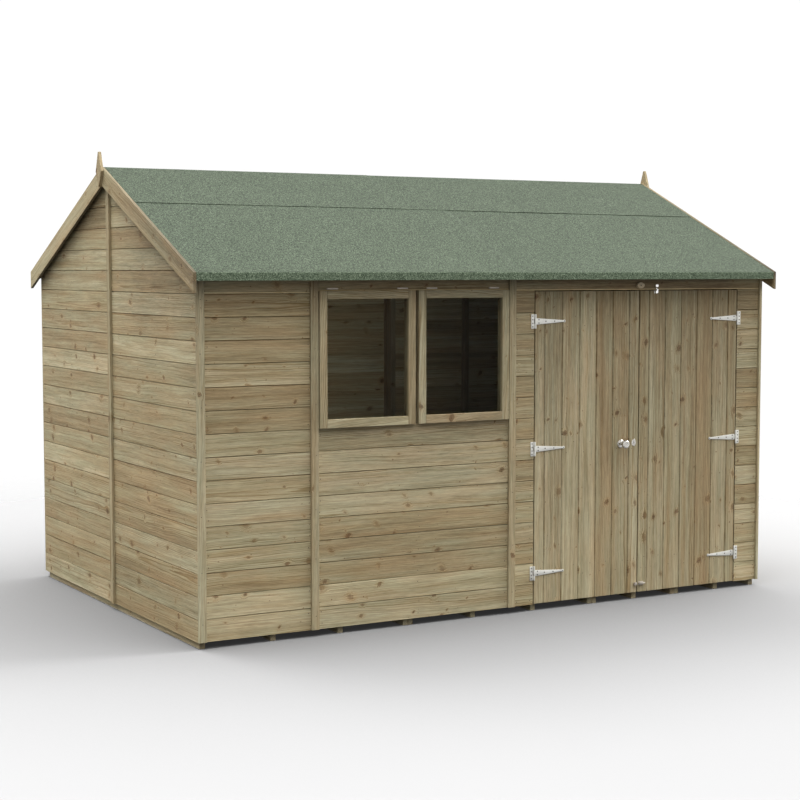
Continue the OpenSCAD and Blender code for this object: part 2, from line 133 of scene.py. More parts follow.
def prism(bag, O, A, P, Q, prof, a0, a1, seed, tone, segs=6, wob=0.25, end=0.8, smooth=False):
    """Timber of outline prof, (p, q) pairs, drawn along A. a0 and a1 give the place of each end for a height p."""
    r = random.Random(seed)
    s = r.uniform(0.0, 60.0)
    n = len(prof)
    nrm = []
    area = sum(prof[i][0] * prof[(i + 1) % n][1] - prof[(i + 1) % n][0] * prof[i][1] for i in range(n))
    sg = 1.0 if area > 0 else -1.0
    for i in range(n):
        x0, y0 = prof[i - 1]; x1, y1 = prof[i]; x2, y2 = prof[(i + 1) % n]
        e1 = Vector((y1 - y0, -(x1 - x0), 0)); e2 = Vector((y2 - y1, -(x2 - x1), 0))
        e1.normalize(); e2.normalize()
        m = (e1 + e2); m = m.normalized() if m.length > 1e-6 else e1
        nrm.append((m.x * sg, m.y * sg))
    base = len(bag.v)
    ph = r.uniform(0, 100)
    rings = [(0.0, True)] + [(i / segs, False) for i in range(segs + 1)] + [(1.0, True)]
    coords = []
    for k, (t, inset) in enumerate(rings):
        row = []
        for i, (p, q) in enumerate(prof):
            lo, hi = a0(p), a1(p)
            a = lo + (hi - lo) * t
            if not inset and t == 0.0: a += end
            if not inset and t == 1.0: a -= end
            pp, qq = p, q
            if inset:
                pp -= nrm[i][0] * end; qq -= nrm[i][1] * end
            w = wob * noise.noise((a * 0.0021 + ph, 3.1, seed * 0.37))
            w2 = wob * 0.6 * noise.noise((a * 0.0017 + ph, 9.7, seed * 0.61))
            row.append((a, pp, qq))
            bag.v.append(O + A * a + P * (pp + w2) + Q * (qq + w))
        coords.append(row)
    def att(k, i):
        a, p, q = coords[k][i]
        return (a * 0.001, (p - q) * 0.001, s)
    # a third tone value of -1 strengthens the painted highlight along the board's foot
    foot = tone[2] if len(tone) > 2 else 0.0
    # each corner's tone: the colour band is painted paler towards the foot of the front wall, and the lightness takes
    # the painted light and shade of the walls
    def tn(q, e):
        return (tone[0] + 0.60 * painted_eave_shade_ramp(bag.v[q]) - (0.45 if 908.0 < bag.v[q].x < 1620.0 and bag.v[q].y < -1150.0 else 0.0), tone[1] + painted_light_and_shade(bag.v[q]), e)
    for k in range(len(rings) - 1):
        for i in range(n):
            j = (i + 1) % n
            ids = (base + k * n + i, base + k * n + j, base + (k + 1) * n + j, base + (k + 1) * n + i)
            bag.face(ids, (att(k, i), att(k, j), att(k + 1, j), att(k + 1, i)), [tn(q, foot) for q in ids], smooth)
    for k in (0, len(rings) - 1):
        ids = tuple(base + k * n + i for i in range(n))
        bag.face(ids, [att(k, i) for i in range(n)], [tn(q, 1.0) for q in ids])


def islands(node):
    """The separate solids of a CAD node as small meshes, in millimetres, flat faces merged."""
    bm = bmesh.new(); bm.from_mesh(NODES[node].data)
    bmesh.ops.remove_doubles(bm, verts=bm.verts[:], dist=2e-6)
    for v in bm.verts: v.co *= 1000.0
    seen = set(); groups = []
    for v in bm.verts:
        if v.index in seen: continue
        stack, grp = [v], []
        seen.add(v.index)
        while stack:
            w = stack.pop(); grp.append(w)
            for e in w.link_edges:
                o = e.other_vert(w)
                if o.index not in seen:
                    seen.add(o.index); stack.append(o)
        groups.append(grp)
    out = []
    for grp in groups:
        b = bmesh.new(); m = {}
        for w in grp: m[w.index] = b.verts.new(w.co)
        fs = {f for w in grp for f in w.link_faces}
        for f in sorted(fs, key=lambda f: f.index): b.faces.new([m[w.index] for w in f.verts])
        bmesh.ops.dissolve_limit(b, angle_limit=math.radians(0.6), verts=b.verts[:], edges=b.edges[:])
        out.append(b)
    bm.free()
    out.sort(key=lambda b: tuple(round(sum(v.co[i] for v in b.verts) / len(b.verts), 2) for i in range(3)))
    return out


def from_cad(bag, node, seed, bev=1.2, seg=2, tone=(0.0, 0.5), light=(0.0, 0.5), axis=None, smooth=False, angle=30, cuts=0, weather=0.0):
    """Adds a node's solids with eased edges and grain along each one's longest edge."""
    r = random.Random(seed)
    for b in islands(node):
        if axis is None:
            e = max(b.edges, key=lambda e: e.calc_length())
            A = (e.verts[1].co - e.verts[0].co).normalized()
        else:
            A = axis
        B = A.cross(Z) if abs(A.z) < 0.9 else A.cross(Y)
        B.normalize(); C = A.cross(B).normalized()
        if bev:
            es = [e for e in b.edges if len(e.link_faces) == 2 and e.calc_face_angle(0) > math.radians(angle)]
            bmesh.ops.bevel(b, geom=es, offset=bev, offset_type="OFFSET", segments=seg, profile=0.5, affect="EDGES", clamp_overlap=True)
        if cuts:
            for k in range(1, cuts):
                los = [v.co.dot(A) for v in b.verts]
                at = min(los) + (max(los) - min(los)) * k / cuts
                bmesh.ops.bisect_plane(b, geom=b.verts[:] + b.edges[:] + b.faces[:], plane_co=A * at, plane_no=A)
        b.normal_update()
        c = sum((v.co for v in b.verts), Vector()) / len(b.verts)
        bmin = min((v.co - c).dot(B) for v in b.verts); cmin = min((v.co - c).dot(C) for v in b.verts)
        s = r.uniform(0, 60)
        t = max(-1, min(1, r.gauss(*tone))); l = max(light[0] - 1, min(light[0] + 1, r.gauss(*light)))
        base = len(bag.v)
        b.verts.index_update()
        bag.v.extend(v.co.copy() for v in b.verts)
        for f in b.faces:
            endf = 1.0 if abs(f.normal.dot(A)) > 0.75 and bev and not smooth else 0.0
            # painted shade: faces that look up or down are made darker, the undersides most
            if weather and abs(f.normal.z) > 0.5: endf = weather * (1.0 if f.normal.z > 0 else 1.3)
            gr = []
            for v in f.verts:
                d = v.co - c
                gr.append((d.dot(A) * 0.001, (d.dot(B) - bmin + 0.9 * (d.dot(C) - cmin)) * 0.001 + 0.006, s))
            # lightness also takes the painted light and shade of the walls
            bag.face(tuple(base + v.index for v in f.verts), gr, [(t, l + painted_light_and_shade(v.co), endf) for v in f.verts], smooth)
        b.free()
    return bag


def lathe(bag, C, D, U, prof, n=32, s=1.0, smooth=True, round_it=0):
    """Turned shape about the line from C along D; prof is (radius, distance) pairs from one end to the other."""
    V = D.cross(U).normalized()
    for _ in range(round_it):
        q = [prof[0]]
        for i in range(len(prof) - 1):
            a, b = prof[i], prof[i + 1]
            q.append((a[0] * 0.75 + b[0] * 0.25, a[1] * 0.75 + b[1] * 0.25))
            q.append((a[0] * 0.25 + b[0] * 0.75, a[1] * 0.25 + b[1] * 0.75))
        q.append(prof[-1]); prof = q
    base = len(bag.v); rows = []
    for (rad, h) in prof:
        if rad < 1e-6:
            rows.append([len(bag.v)]); bag.v.append(C + D * h)
        else:
            rows.append(list(range(len(bag.v), len(bag.v) + n)))
            for i in range(n):
                a = 2 * math.pi * i / n
                bag.v.append(C + D * h + U * (rad * math.cos(a)) + V * (rad * math.sin(a)))
    def g(k, i):
        rad, h = prof[k]
        return (rad * 0.001 + h * 0.001, 2 * math.pi * 0.001 * 20 * (i / n), s)
    tn = (0.0, 0.0, 0.0)
    for k in range(len(rows) - 1):
        a, b = rows[k], rows[k + 1]
        for i in range(n):
            j = (i + 1) % n
            if len(a) == 1 and len(b) == 1: break
            if len(a) == 1:
                bag.face((a[0], b[j], b[i]), (g(k, i), g(k + 1, i + 1), g(k + 1, i)), (tn,) * 3, smooth)
            elif len(b) == 1:
                bag.face((a[i], a[j], b[0]), (g(k, i), g(k, i + 1), g(k + 1, i)), (tn,) * 3, smooth)
            else:
                bag.face((a[i], a[j], b[j], b[i]), (g(k, i), g(k, i + 1), g(k + 1, i + 1), g(k + 1, i)), (tn,) * 4, smooth)


def screw(bag, C, D, rad, seed, proud=0.8):
    """Countersunk head with a cross recess, its face on the surface at C, looking along D."""
    r = random.Random(seed)
    U = (X if abs(D.x) < 0.7 else Y)
    a0 = r.uniform(0, math.pi / 2)
    V = D.cross(U).normalized()
    U2 = U * math.cos(a0) + V * math.sin(a0); V2 = D.cross(U2).normalized()
    n = 16; tn = (0, 0, 0.0); s = r.uniform(0, 9)
    base = len(bag.v)
    ring = lambda rr, h: [C + D * h + U2 * (rr * math.cos(2 * math.pi * i / n)) + V2 * (rr * math.sin(2 * math.pi * i / n)) for i in range(n)]
    # rim, crown and a star shaped recess of 16 points
    star = [0.62 if i % 4 == 0 else 0.17 for i in range(n)]
    rows = [ring(rad, -0.6), ring(rad, proud * 0.45), ring(rad * 0.9, proud * 0.8), ring(rad * 0.72, proud)]
    rows.append([C + D * (proud) + U2 * (rad * star[i] * math.cos(2 * math.pi * i / n)) + V2 * (rad * star[i] * math.sin(2 * math.pi * i / n)) for i in range(n)])
    rows.append([C + D * (proud - rad * 0.5) + U2 * (rad * star[i] * 0.8 * math.cos(2 * math.pi * i / n)) + V2 * (rad * star[i] * 0.8 * math.sin(2 * math.pi * i / n)) for i in range(n)])
    for row in rows: bag.v.extend(row)
    for k in range(len(rows) - 1):
        for i in range(n):
            j = (i + 1) % n
            ids = (base + k * n + i, base + k * n + j, base + (k + 1) * n + j, base + (k + 1) * n + i)
            bag.face(ids, [(bag.v[q].dot(U2) * 0.001, bag.v[q].dot(V2) * 0.001, s) for q in ids], [tn] * 4, k < 2)
    for k in (0, len(rows) - 1):
        ids = tuple(base + k * n + i for i in range(n))
        bag.face(ids, [(bag.v[q].dot(U2) * 0.001, bag.v[q].dot(V2) * 0.001, s) for q in ids], [tn] * n)


def nail(bag, C, D, rad, seed):
    r = random.Random(seed)
    U = (X if abs(D.x) < 0.7 else Y)
    lathe(bag, C + D * r.uniform(-0.25, 0.1), D, U, [(0, -1.5), (rad * 0.95, -1.5), (rad, 0.0), (rad * 0.8, 0.35), (rad * 0.35, 0.5), (0, 0.45)], n=10, s=r.uniform(0, 9))


# ------------------------------------------------------------------ materials
class Net:
    def __init__(self, name):
        self.mat = bpy.data.materials.new(name)
        self.mat.use_nodes = True
        self.t = self.mat.node_tree
        self.bsdf = next(n for n in self.t.nodes if n.type == "BSDF_PRINCIPLED")

    def new(self, kind, **kw):
        n = self.t.nodes.new(kind)
        for k, v in kw.items(): setattr(n, k, v)
        return n

    def put(self, sock, val):
        if isinstance(val, bpy.types.NodeSocket): self.t.links.new(val, sock)
        elif val is not None: sock.default_value = val

    def math(self, op, a, b=None, c=None, clamp=False):
        n = self.new("ShaderNodeMath", operation=op, use_clamp=clamp)
        self.put(n.inputs[0], a); self.put(n.inputs[1], b); self.put(n.inputs[2], c)
        return n.outputs[0]

    def attr(self, name):
        n = self.new("ShaderNodeAttribute", attribute_name=name)
        s = self.new("ShaderNodeSeparateXYZ")
        self.t.links.new(n.outputs["Vector"], s.inputs[0])
        return s.outputs[0], s.outputs[1], s.outputs[2]

    def vec(self, x, y, z=0.0):
        n = self.new("ShaderNodeCombineXYZ")
        self.put(n.inputs[0], x); self.put(n.inputs[1], y); self.put(n.inputs[2], z)
        return n.outputs[0]

    def noise(self, v, scale=1.0, detail=2.0, rough=0.5, dist=0.0):
        n = self.new("ShaderNodeTexNoise", noise_dimensions="3D")
        self.put(n.inputs["Vector"], v); n.inputs["Scale"].default_value = scale
        n.inputs["Detail"].default_value = detail; n.inputs["Roughness"].default_value = rough
        n.inputs["Distortion"].default_value = dist
        return n.outputs[0]

    def step(self, v, a, b, c=0.0, d=1.0):
        n = self.new("ShaderNodeMapRange", interpolation_type="SMOOTHSTEP")
        self.put(n.inputs[0], v)
        for i, q in enumerate((a, b, c, d)): self.put(n.inputs[i + 1], q)
        return n.outputs[0]

    def mix(self, f, a, b, mode="MIX"):
        n = self.new("ShaderNodeMix", data_type="RGBA", blend_type=mode, clamp_factor=True)
        self.put(n.inputs[0], f)
        for i, q in ((6, a), (7, b)):
            if isinstance(q, tuple): q = (*q, 1.0)
            self.put(n.inputs[i], q)
        return n.outputs[2]

    def ramp(self, f, stops):
        n = self.new("ShaderNodeValToRGB")
        el = n.color_ramp.elements
        el[0].position, el[0].color = stops[0][0], (*stops[0][1], 1)
        el[1].position, el[1].color = stops[-1][0], (*stops[-1][1], 1)
        for p, c in stops[1:-1]:
            e = el.new(p); e.color = (*c, 1)
        self.put(n.inputs[0], f)
        return n.outputs[0]

    def scale(self, col, f):
        n = self.new("ShaderNodeVectorMath", operation="SCALE")
        self.put(n.inputs[0], col); self.put(n.inputs["Scale"], f)
        return n.outputs[0]

    def bump(self, h, strength, dist, normal=None):
        n = self.new("ShaderNodeBump")
        n.inputs["Strength"].default_value = strength; n.inputs["Distance"].default_value = dist
        self.put(n.inputs["Height"], h)
        if normal is not None: self.put(n.inputs["Normal"], normal)
        return n.outputs[0]

    def out(self, **kw):
        for k, v in kw.items():
            self.put(self.bsdf.inputs[k.replace("_", " ")], v)
        return self.mat


def wood(name, brown, tan, green, cream, knots=0.5, foot_highlight_gain=0.0, band=0.50, fibre=0.23, gain=1.02, tone=0.30, rings=0.85):
    w = Net(name)
    u, v, s = w.attr("gr")
    t, li, e = w.attr("tn")
    # numbers of each timber's own, for where the pith lay and how close the rings are
    own = w.math("ROUND", w.math("MULTIPLY", s, 370.0))
    wn = w.new("ShaderNodeTexWhiteNoise", noise_dimensions="1D"); w.put(wn.inputs["W"], own)
    so = w.new("ShaderNodeSeparateColor"); w.put(so.inputs[0], wn.outputs["Color"])
    ra, rb, rc = so.outputs[0], so.outputs[1], so.outputs[2]
    # branches leave the stem in whorls, so knots come in groups along a board
    whorl = w.step(w.noise(w.vec(w.math("MULTIPLY", u, 3.3), w.math("MULTIPLY", v, 2.0), w.math("MULTIPLY", s, 6.1)), detail=1), 0.44, 0.60)

    def knot_layer(fu, fv, share, least, most, power, salt, rag):
        kx = w.math("MULTIPLY_ADD", u, fu, w.math("MULTIPLY", s, 7.31 + salt))
        ky = w.math("MULTIPLY_ADD", v, fv, w.math("MULTIPLY", s, 3.77 + salt))
        vo = w.new("ShaderNodeTexVoronoi", voronoi_dimensions="2D", feature="F1")
        vo.inputs["Scale"].default_value = 1.0; vo.inputs["Randomness"].default_value = 0.85
        w.put(vo.inputs["Vector"], w.vec(kx, ky))
        sp = w.new("ShaderNodeSeparateXYZ"); w.put(sp.inputs[0], vo.outputs["Position"])
        sc = w.new("ShaderNodeSeparateColor"); w.put(sc.inputs[0], vo.outputs["Color"])
        du = w.math("DIVIDE", w.math("SUBTRACT", kx, sp.outputs[0]), fu)
        dv = w.math("DIVIDE", w.math("SUBTRACT", ky, sp.outputs[1]), fv)
        there = w.math("GREATER_THAN", sc.outputs[0], w.math("MULTIPLY_ADD", whorl, -1.35 * share, 1.0 - 0.38 * share))
        rk = w.math("MULTIPLY_ADD", w.math("POWER", sc.outputs[1], power), most - least, least)
        an = w.math("MULTIPLY_ADD", sc.outputs[2], 2.2, -1.1)
        ca, sa = w.math("COSINE", an), w.math("SINE", an)
        k1 = w.math("ADD", w.math("MULTIPLY", du, ca), w.math("MULTIPLY", dv, sa))
        k2 = w.math("SUBTRACT", w.math("MULTIPLY", dv, ca), w.math("MULTIPLY", du, sa))
        flat = w.math("MULTIPLY_ADD", sc.outputs[1], 0.30, 0.55)
        dd = w.math("SQRT", w.math("ADD", w.math("POWER", w.math("MULTIPLY", k1, flat), 2.0), w.math("POWER", w.math("MULTIPLY", k2, 1.15), 2.0)))
        dn = w.math("ADD", w.math("DIVIDE", dd, rk), rag)
        power2 = w.math("MULTIPLY_ADD", sc.outputs[2], 0.70, 0.30)
        return there, w.math("MULTIPLY", there, power2), dn, dv

    jag = w.noise(w.vec(w.math("MULTIPLY", u, 105.0), w.math("MULTIPLY", v, 130.0), s), detail=3)
    rag = w.math("MULTIPLY_ADD", jag, 1.9, -0.95)
    there, strong, dn, dv = knot_layer(1 / 0.17, 1 / 0.060, knots, 0.0028, 0.0150, 1.9, 0.0, rag)
    _, pin, dp, _ = knot_layer(1 / 0.062, 1 / 0.031, knots * 0.40, 0.0013, 0.0046, 1.6, 1.13, rag)
    knot = w.math("MAXIMUM", w.math("MULTIPLY", strong, w.step(dn, 1.15, 0.85)), w.math("MULTIPLY", pin, w.step(dp, 1.15, 0.8)))
    core = w.math("MAXIMUM", w.math("MULTIPLY", strong, w.step(dn, 0.70, 0.15)), w.math("MULTIPLY", pin, w.step(dp, 0.6, 0.1)))
    rim = w.math("MULTIPLY", strong, w.math("MULTIPLY", w.step(dn, 0.72, 0.90), w.step(dn, 1.30, 1.0)))
    halo = w.math("MULTIPLY", there, w.step(dn, 3.6, 0.8))
    # grain lines wander, and part round the knots
    slow = w.noise(w.vec(w.math("MULTIPLY", u, 0.9), w.math("MULTIPLY", v, 5.0), w.math("MULTIPLY", s, 2.7)), detail=1)
    wave = w.noise(w.vec(w.math("MULTIPLY", u, 4.2), w.math("MULTIPLY", v, 11.0), w.math("MULTIPLY", s, 3.9)), detail=2)
    v2 = w.math("ADD", w.math("SUBTRACT", v, w.math("MULTIPLY", w.math("MULTIPLY", dv, halo), 0.8)), w.math("MULTIPLY_ADD", slow, 0.034, -0.017))
    v2 = w.math("ADD", v2, w.math("MULTIPLY_ADD", wave, 0.014, -0.007))
    n1 = w.noise(w.vec(w.math("MULTIPLY", u, 0.7), w.math("MULTIPLY", v2, 19.0), w.math("MULTIPLY", s, 5.3)), detail=2, rough=0.55)
    mid = w.noise(w.vec(w.math("MULTIPLY", u, 2.4), w.math("MULTIPLY", v2, 58.0), w.math("MULTIPLY", s, 6.7)), detail=3, rough=0.6)
    n2 = w.noise(w.vec(w.math("MULTIPLY", u, 3.0), w.math("MULTIPLY", v2, 150.0), w.math("MULTIPLY", s, 9.1)), detail=3, rough=0.65)
    fleck = w.noise(w.vec(w.math("MULTIPLY", u, 18.0), w.math("MULTIPLY", v2, 210.0), w.math("MULTIPLY", s, 4.1)), detail=3, rough=0.7)
    n3 = w.noise(w.vec(w.math("MULTIPLY", u, 9.0), w.math("MULTIPLY", v2, 560.0), w.math("MULTIPLY", s, 3.3)), detail=3, rough=0.6)
    blot = w.noise(w.vec(w.math("MULTIPLY", u, 3.4), w.math("MULTIPLY", v, 14.0), w.math("MULTIPLY", s, 1.9)), detail=4, rough=0.6)
    # year rings: a sawn face cuts them as arches near the pith and as close lines away from it
    pith = w.math("SUBTRACT", v2, w.math("MULTIPLY_ADD", ra, 0.30, -0.09))
    deep = w.math("MULTIPLY_ADD", w.math("MULTIPLY", rb, rb), 0.050, 0.012)
    far = w.math("SQRT", w.math("ADD", w.math("MULTIPLY", pith, pith), w.math("MULTIPLY", deep, deep)))
    far = w.math("ADD", far, w.math("MULTIPLY", u, w.math("MULTIPLY_ADD", rc, 0.036, -0.018)))
    year = w.math("ADD", w.math("MULTIPLY", far, w.math("MULTIPLY_ADD", rc, 110.0, 105.0)), w.math("MULTIPLY_ADD", mid, 1.3, -0.65))
    frac = w.math("FRACT", year)
    wy = w.new("ShaderNodeTexWhiteNoise", noise_dimensions="1D"); w.put(wy.inputs["W"], w.math("ADD", w.math("FLOOR", year), w.math("MULTIPLY", own, 17.0)))
    bold = w.math("MULTIPLY_ADD", w.math("POWER", wy.outputs["Value"], 1.7), 1.15, 0.25)
    ring = w.math("MULTIPLY", w.math("MULTIPLY", w.step(frac, 0.28, 0.88), w.step(frac, 1.0, 0.93)), bold)
    # colour
    f = w.math("ADD", w.math("MULTIPLY_ADD", n1, band * 2.0, 0.5 - band), w.math("MULTIPLY", t, tone))
    f = w.math("ADD", f, w.math("MULTIPLY_ADD", blot, 0.46, -0.23))
    f = w.math("ADD", f, w.math("MULTIPLY_ADD", mid, 0.5, -0.25))
    col = w.ramp(f, [(0.12, brown), (0.42, tan), (0.62, green), (0.86, cream)])
    hue = w.noise(w.vec(w.math("MULTIPLY", u, 2.3), w.math("MULTIPLY", v2, 11.0), w.math("MULTIPLY", s, 8.3)), detail=3, rough=0.55)
    col = w.mix(1.0, col, w.mix(w.step(hue, 0.32, 0.68), (1.035, 0.987, 0.962), (0.962, 1.008, 1.025)), "MULTIPLY")
    heart = w.step(w.noise(w.vec(w.math("MULTIPLY", u, 0.8), w.math("MULTIPLY", v2, 15.0), w.math("MULTIPLY", s, 11.3)), detail=3, rough=0.55), 0.58, 0.74)
    col = w.mix(w.math("MULTIPLY", heart, 0.42), col, w.mix(1.0, col, (0.80, 0.655, 0.47), "MULTIPLY"))
    late = w.step(n2, 0.47, 0.68)
    col = w.mix(w.math("MULTIPLY", late, 0.58), col, w.mix(1.0, col, (0.64, 0.575, 0.46), "MULTIPLY"))
    col = w.mix(w.math("MULTIPLY", ring, rings), col, w.mix(1.0, col, (0.66, 0.575, 0.45), "MULTIPLY"))
    col = w.mix(w.math("MULTIPLY", halo, 0.38), col, w.mix(1.0, col, (0.84, 0.64, 0.45), "MULTIPLY"))
    col = w.mix(w.math("MULTIPLY", knot, 0.74), col, (0.166, 0.090, 0.038))
    col = w.mix(w.math("MULTIPLY", w.math("MAXIMUM", core, rim), 0.50), col, (0.045, 0.023, 0.012))
    val = w.math("MULTIPLY_ADD", n3, fibre * 2.6, gain - fibre * 1.3)
    val = w.math("ADD", val, w.math("MULTIPLY_ADD", mid, fibre * 2.0, -fibre * 1.0))
    val = w.math("ADD", val, w.math("MULTIPLY_ADD", fleck, fibre * 3.4, -fibre * 1.7))
    # each board's own lightness, plus the painted light and shade it carries
    val = w.math("MULTIPLY_ADD", li, 0.085, val)
    if foot_highlight_gain:
        # painted highlight along a board's foot, as if its lower edge caught the light, stronger on the boards above
        # 1700 mm
        painted_foot_highlight = w.math("MULTIPLY_ADD", w.math("MAXIMUM", w.math("MULTIPLY", e, -1.0), 0.0), 1.1, foot_highlight_gain)
        val = w.math("ADD", val, w.math("MULTIPLY", w.step(v, 0.0068, 0.0022), painted_foot_highlight))
    # darker end grain, and in the same channel the painted shade on the bargeboards' up and down faces
    val = w.math("MULTIPLY", val, w.math("MULTIPLY_ADD", w.math("MAXIMUM", e, 0.0), -0.34, 1.0))
    col = w.scale(col, val)
    rough = w.math("MULTIPLY_ADD", n2, 0.22, 0.62)
    h = w.math("ADD", w.math("MULTIPLY", n3, 0.5), w.math("ADD", w.math("ADD", w.math("MULTIPLY", late, 0.4), w.math("MULTIPLY", ring, 0.5)), w.math("MULTIPLY", knot, 0.8)))
    nor = w.bump(h, 0.45, 0.0006)
    return w.out(Base_Color=col, Roughness=rough, Normal=nor, Specular_IOR_Level=0.28)


# Treated softwood. Each range runs from heartwood to pale sapwood.
M_CLAD = wood("cladding_wood", (0.268, 0.203, 0.110), (0.342, 0.272, 0.154), (0.352, 0.302, 0.182), (0.440, 0.380, 0.244), knots=0.34, foot_highlight_gain=0.30, tone=0.27, gain=1.045)
M_DOOR = wood("door_board_wood", (0.272, 0.202, 0.110), (0.340, 0.273, 0.158), (0.352, 0.301, 0.186), (0.434, 0.372, 0.240), knots=0.36, tone=0.27, gain=1.045)
M_TRIM = wood("trim_wood", (0.314, 0.259, 0.156), (0.370, 0.314, 0.195), (0.388, 0.345, 0.222), (0.448, 0.399, 0.270), knots=0.14, band=0.44)
M_SASH = wood("casement_wood", (0.316, 0.252, 0.146), (0.370, 0.305, 0.186), (0.388, 0.335, 0.210), (0.448, 0.392, 0.257), knots=0.22, band=0.46)
M_BARGE = wood("bargeboard_wood", (0.292, 0.220, 0.118), (0.356, 0.282, 0.160), (0.364, 0.304, 0.182), (0.424, 0.358, 0.222), knots=0.42, band=0.44)
M_FRAME = wood("framing_wood", (0.140, 0.098, 0.052), (0.185, 0.138, 0.078), (0.200, 0.160, 0.096), (0.250, 0.208, 0.130), knots=0.20)
M_LEDGE = wood("ledge_wood", (0.250, 0.180, 0.095), (0.315, 0.240, 0.134), (0.330, 0.270, 0.162), (0.405, 0.340, 0.210), knots=0.20)
M_BEAR = wood("bearer_wood", (0.380, 0.312, 0.192), (0.460, 0.385, 0.242), (0.472, 0.414, 0.265), (0.540, 0.472, 0.312), knots=0.15)
M_BUTTON = wood("button_wood", (0.630, 0.515, 0.350), (0.720, 0.605, 0.430), (0.745, 0.640, 0.465), (0.830, 0.725, 0.545), knots=0.0, band=0.40)
M_FLOOR = wood("floor_board_wood", (0.300, 0.212, 0.108), (0.375, 0.290, 0.160), (0.380, 0.315, 0.190), (0.455, 0.385, 0.242), knots=0.20)


def felt_mat(name, gain=1.0, coarse=1.0):
    w = Net(name)
    u, v, s = w.attr("gr")
    fold_painted_light, _, _ = w.attr("tn")
    p = w.vec(u, v, s)
    g1 = w.noise(p, scale=330.0, detail=1, rough=0.6)
    g2 = w.noise(p, scale=215.0, detail=2, rough=0.65)
    g3 = w.noise(p, scale=2.1, detail=4, rough=0.6)
    g4 = w.noise(p, scale=14.0, detail=3, rough=0.6)
    vo = w.new("ShaderNodeTexVoronoi", voronoi_dimensions="3D", feature="F1")
    vo.inputs["Scale"].default_value = 260.0
    w.put(vo.inputs["Vector"], p)
    sc = w.new("ShaderNodeSeparateColor"); w.put(sc.inputs[0], vo.outputs["Color"])
    f = w.math("ADD", w.math("MULTIPLY_ADD", g1, 0.6, -0.3), w.math("MULTIPLY_ADD", g2, 1.7, -0.85))
    f = w.math("ADD", f, w.math("MULTIPLY_ADD", sc.outputs[0], 0.34, 0.33))
    col = w.ramp(f, [(0.05, (0.005, 0.008, 0.0045)), (0.36, (0.0225, 0.0322, 0.0196)), (0.60, (0.046, 0.0605, 0.0384)), (0.95, (0.118, 0.144, 0.100))])
    col = w.scale(col, w.math("MULTIPLY", w.math("MULTIPLY_ADD", g3, 0.16, gain - 0.08), w.math("MULTIPLY_ADD", g4, 0.16, 0.92)))
    # painted light: the felt over the fold at the eaves is made paler
    col = w.scale(col, w.math("MULTIPLY_ADD", fold_painted_light, 1.25, 1.0))
    h = w.math("ADD", w.math("MULTIPLY", g1, 0.6), w.math("SUBTRACT", 1.0, vo.outputs["Distance"]))
    nor = w.bump(h, 0.6, 0.0012)
    rough = w.math("MULTIPLY_ADD", sc.outputs[1], 0.12, 0.84)
    return w.out(Base_Color=col, Roughness=rough, Normal=nor, Specular_IOR_Level=0.2)


M_FELT = felt_mat("mineral_felt")


def metal(name, lo, hi, rough, rvar, bump=0.15, spangle=70.0, metallic=1.0):
    w = Net(name)
    u, v, s = w.attr("gr")
    p = w.vec(u, v, s)
    a = w.noise(p, scale=spangle, detail=3, rough=0.6)
    b = w.noise(p, scale=spangle * 9, detail=2, rough=0.6)
    c = w.noise(p, scale=spangle * 0.22, detail=3, rough=0.6)
    f = w.math("ADD", w.math("MULTIPLY", a, 0.6), w.math("ADD", w.math("MULTIPLY", c, 0.5), w.math("MULTIPLY_ADD", b, 0.3, -0.2)))
    col = w.mix(f, lo, hi)
    r = w.math("ADD", w.math("MULTIPLY_ADD", a, rvar, rough - rvar * 0.5), w.math("MULTIPLY_ADD", b, 0.08, -0.04))
    nor = w.bump(w.math("ADD", a, b), bump, 0.0003)
    return w.out(Base_Color=col, Roughness=r, Normal=nor, Metallic=metallic)


M_ZINC = metal("galvanised_steel", (0.52, 0.515, 0.475), (0.72, 0.71, 0.665), 0.40, 0.20, metallic=0.35)
M_BRIGHT = metal("bright_zinc", (0.90, 0.90, 0.88), (0.98, 0.98, 0.97), 0.20, 0.12, metallic=0.9)
M_SATIN = metal("satin_nickel", (0.40, 0.38, 0.35), (0.64, 0.62, 0.57), 0.26, 0.12, bump=0.08, spangle=160.0)
M_BOLT = metal("aged_bolt_steel", (0.36, 0.315, 0.26), (0.58, 0.53, 0.465), 0.45, 0.2, metallic=0.85)
M_CASE = metal("black_lacquered_steel", (0.012, 0.011, 0.010), (0.040, 0.036, 0.032), 0.42, 0.2, bump=0.3, metallic=0.25)
M_NAIL = metal("nail_steel", (0.050, 0.036, 0.024), (0.130, 0.100, 0.070), 0.55, 0.2, bump=0.3, metallic=0.5)
M_SCREW = metal("screw_steel", (0.045, 0.042, 0.036), (0.14, 0.13, 0.115), 0.45, 0.2, metallic=0.6)


def glass_mat():
    w = Net("window_glass")
    u, v, s = w.attr("gr")
    p = w.vec(u, v, s)
    a = w.noise(p, scale=3.0, detail=2)
    b = w.noise(p, scale=120.0, detail=3)
    r = w.math("MULTIPLY_ADD", w.math("MULTIPLY", a, b), 0.05, 0.004)
    col = w.mix(a, (0.86, 0.90, 0.875), (0.93, 0.955, 0.94))
    nor = w.bump(a, 0.05, 0.0008)
    return w.out(Base_Color=col, Roughness=r, Normal=nor, Transmission_Weight=1.0, IOR=1.10)


M_GLASS = glass_mat()


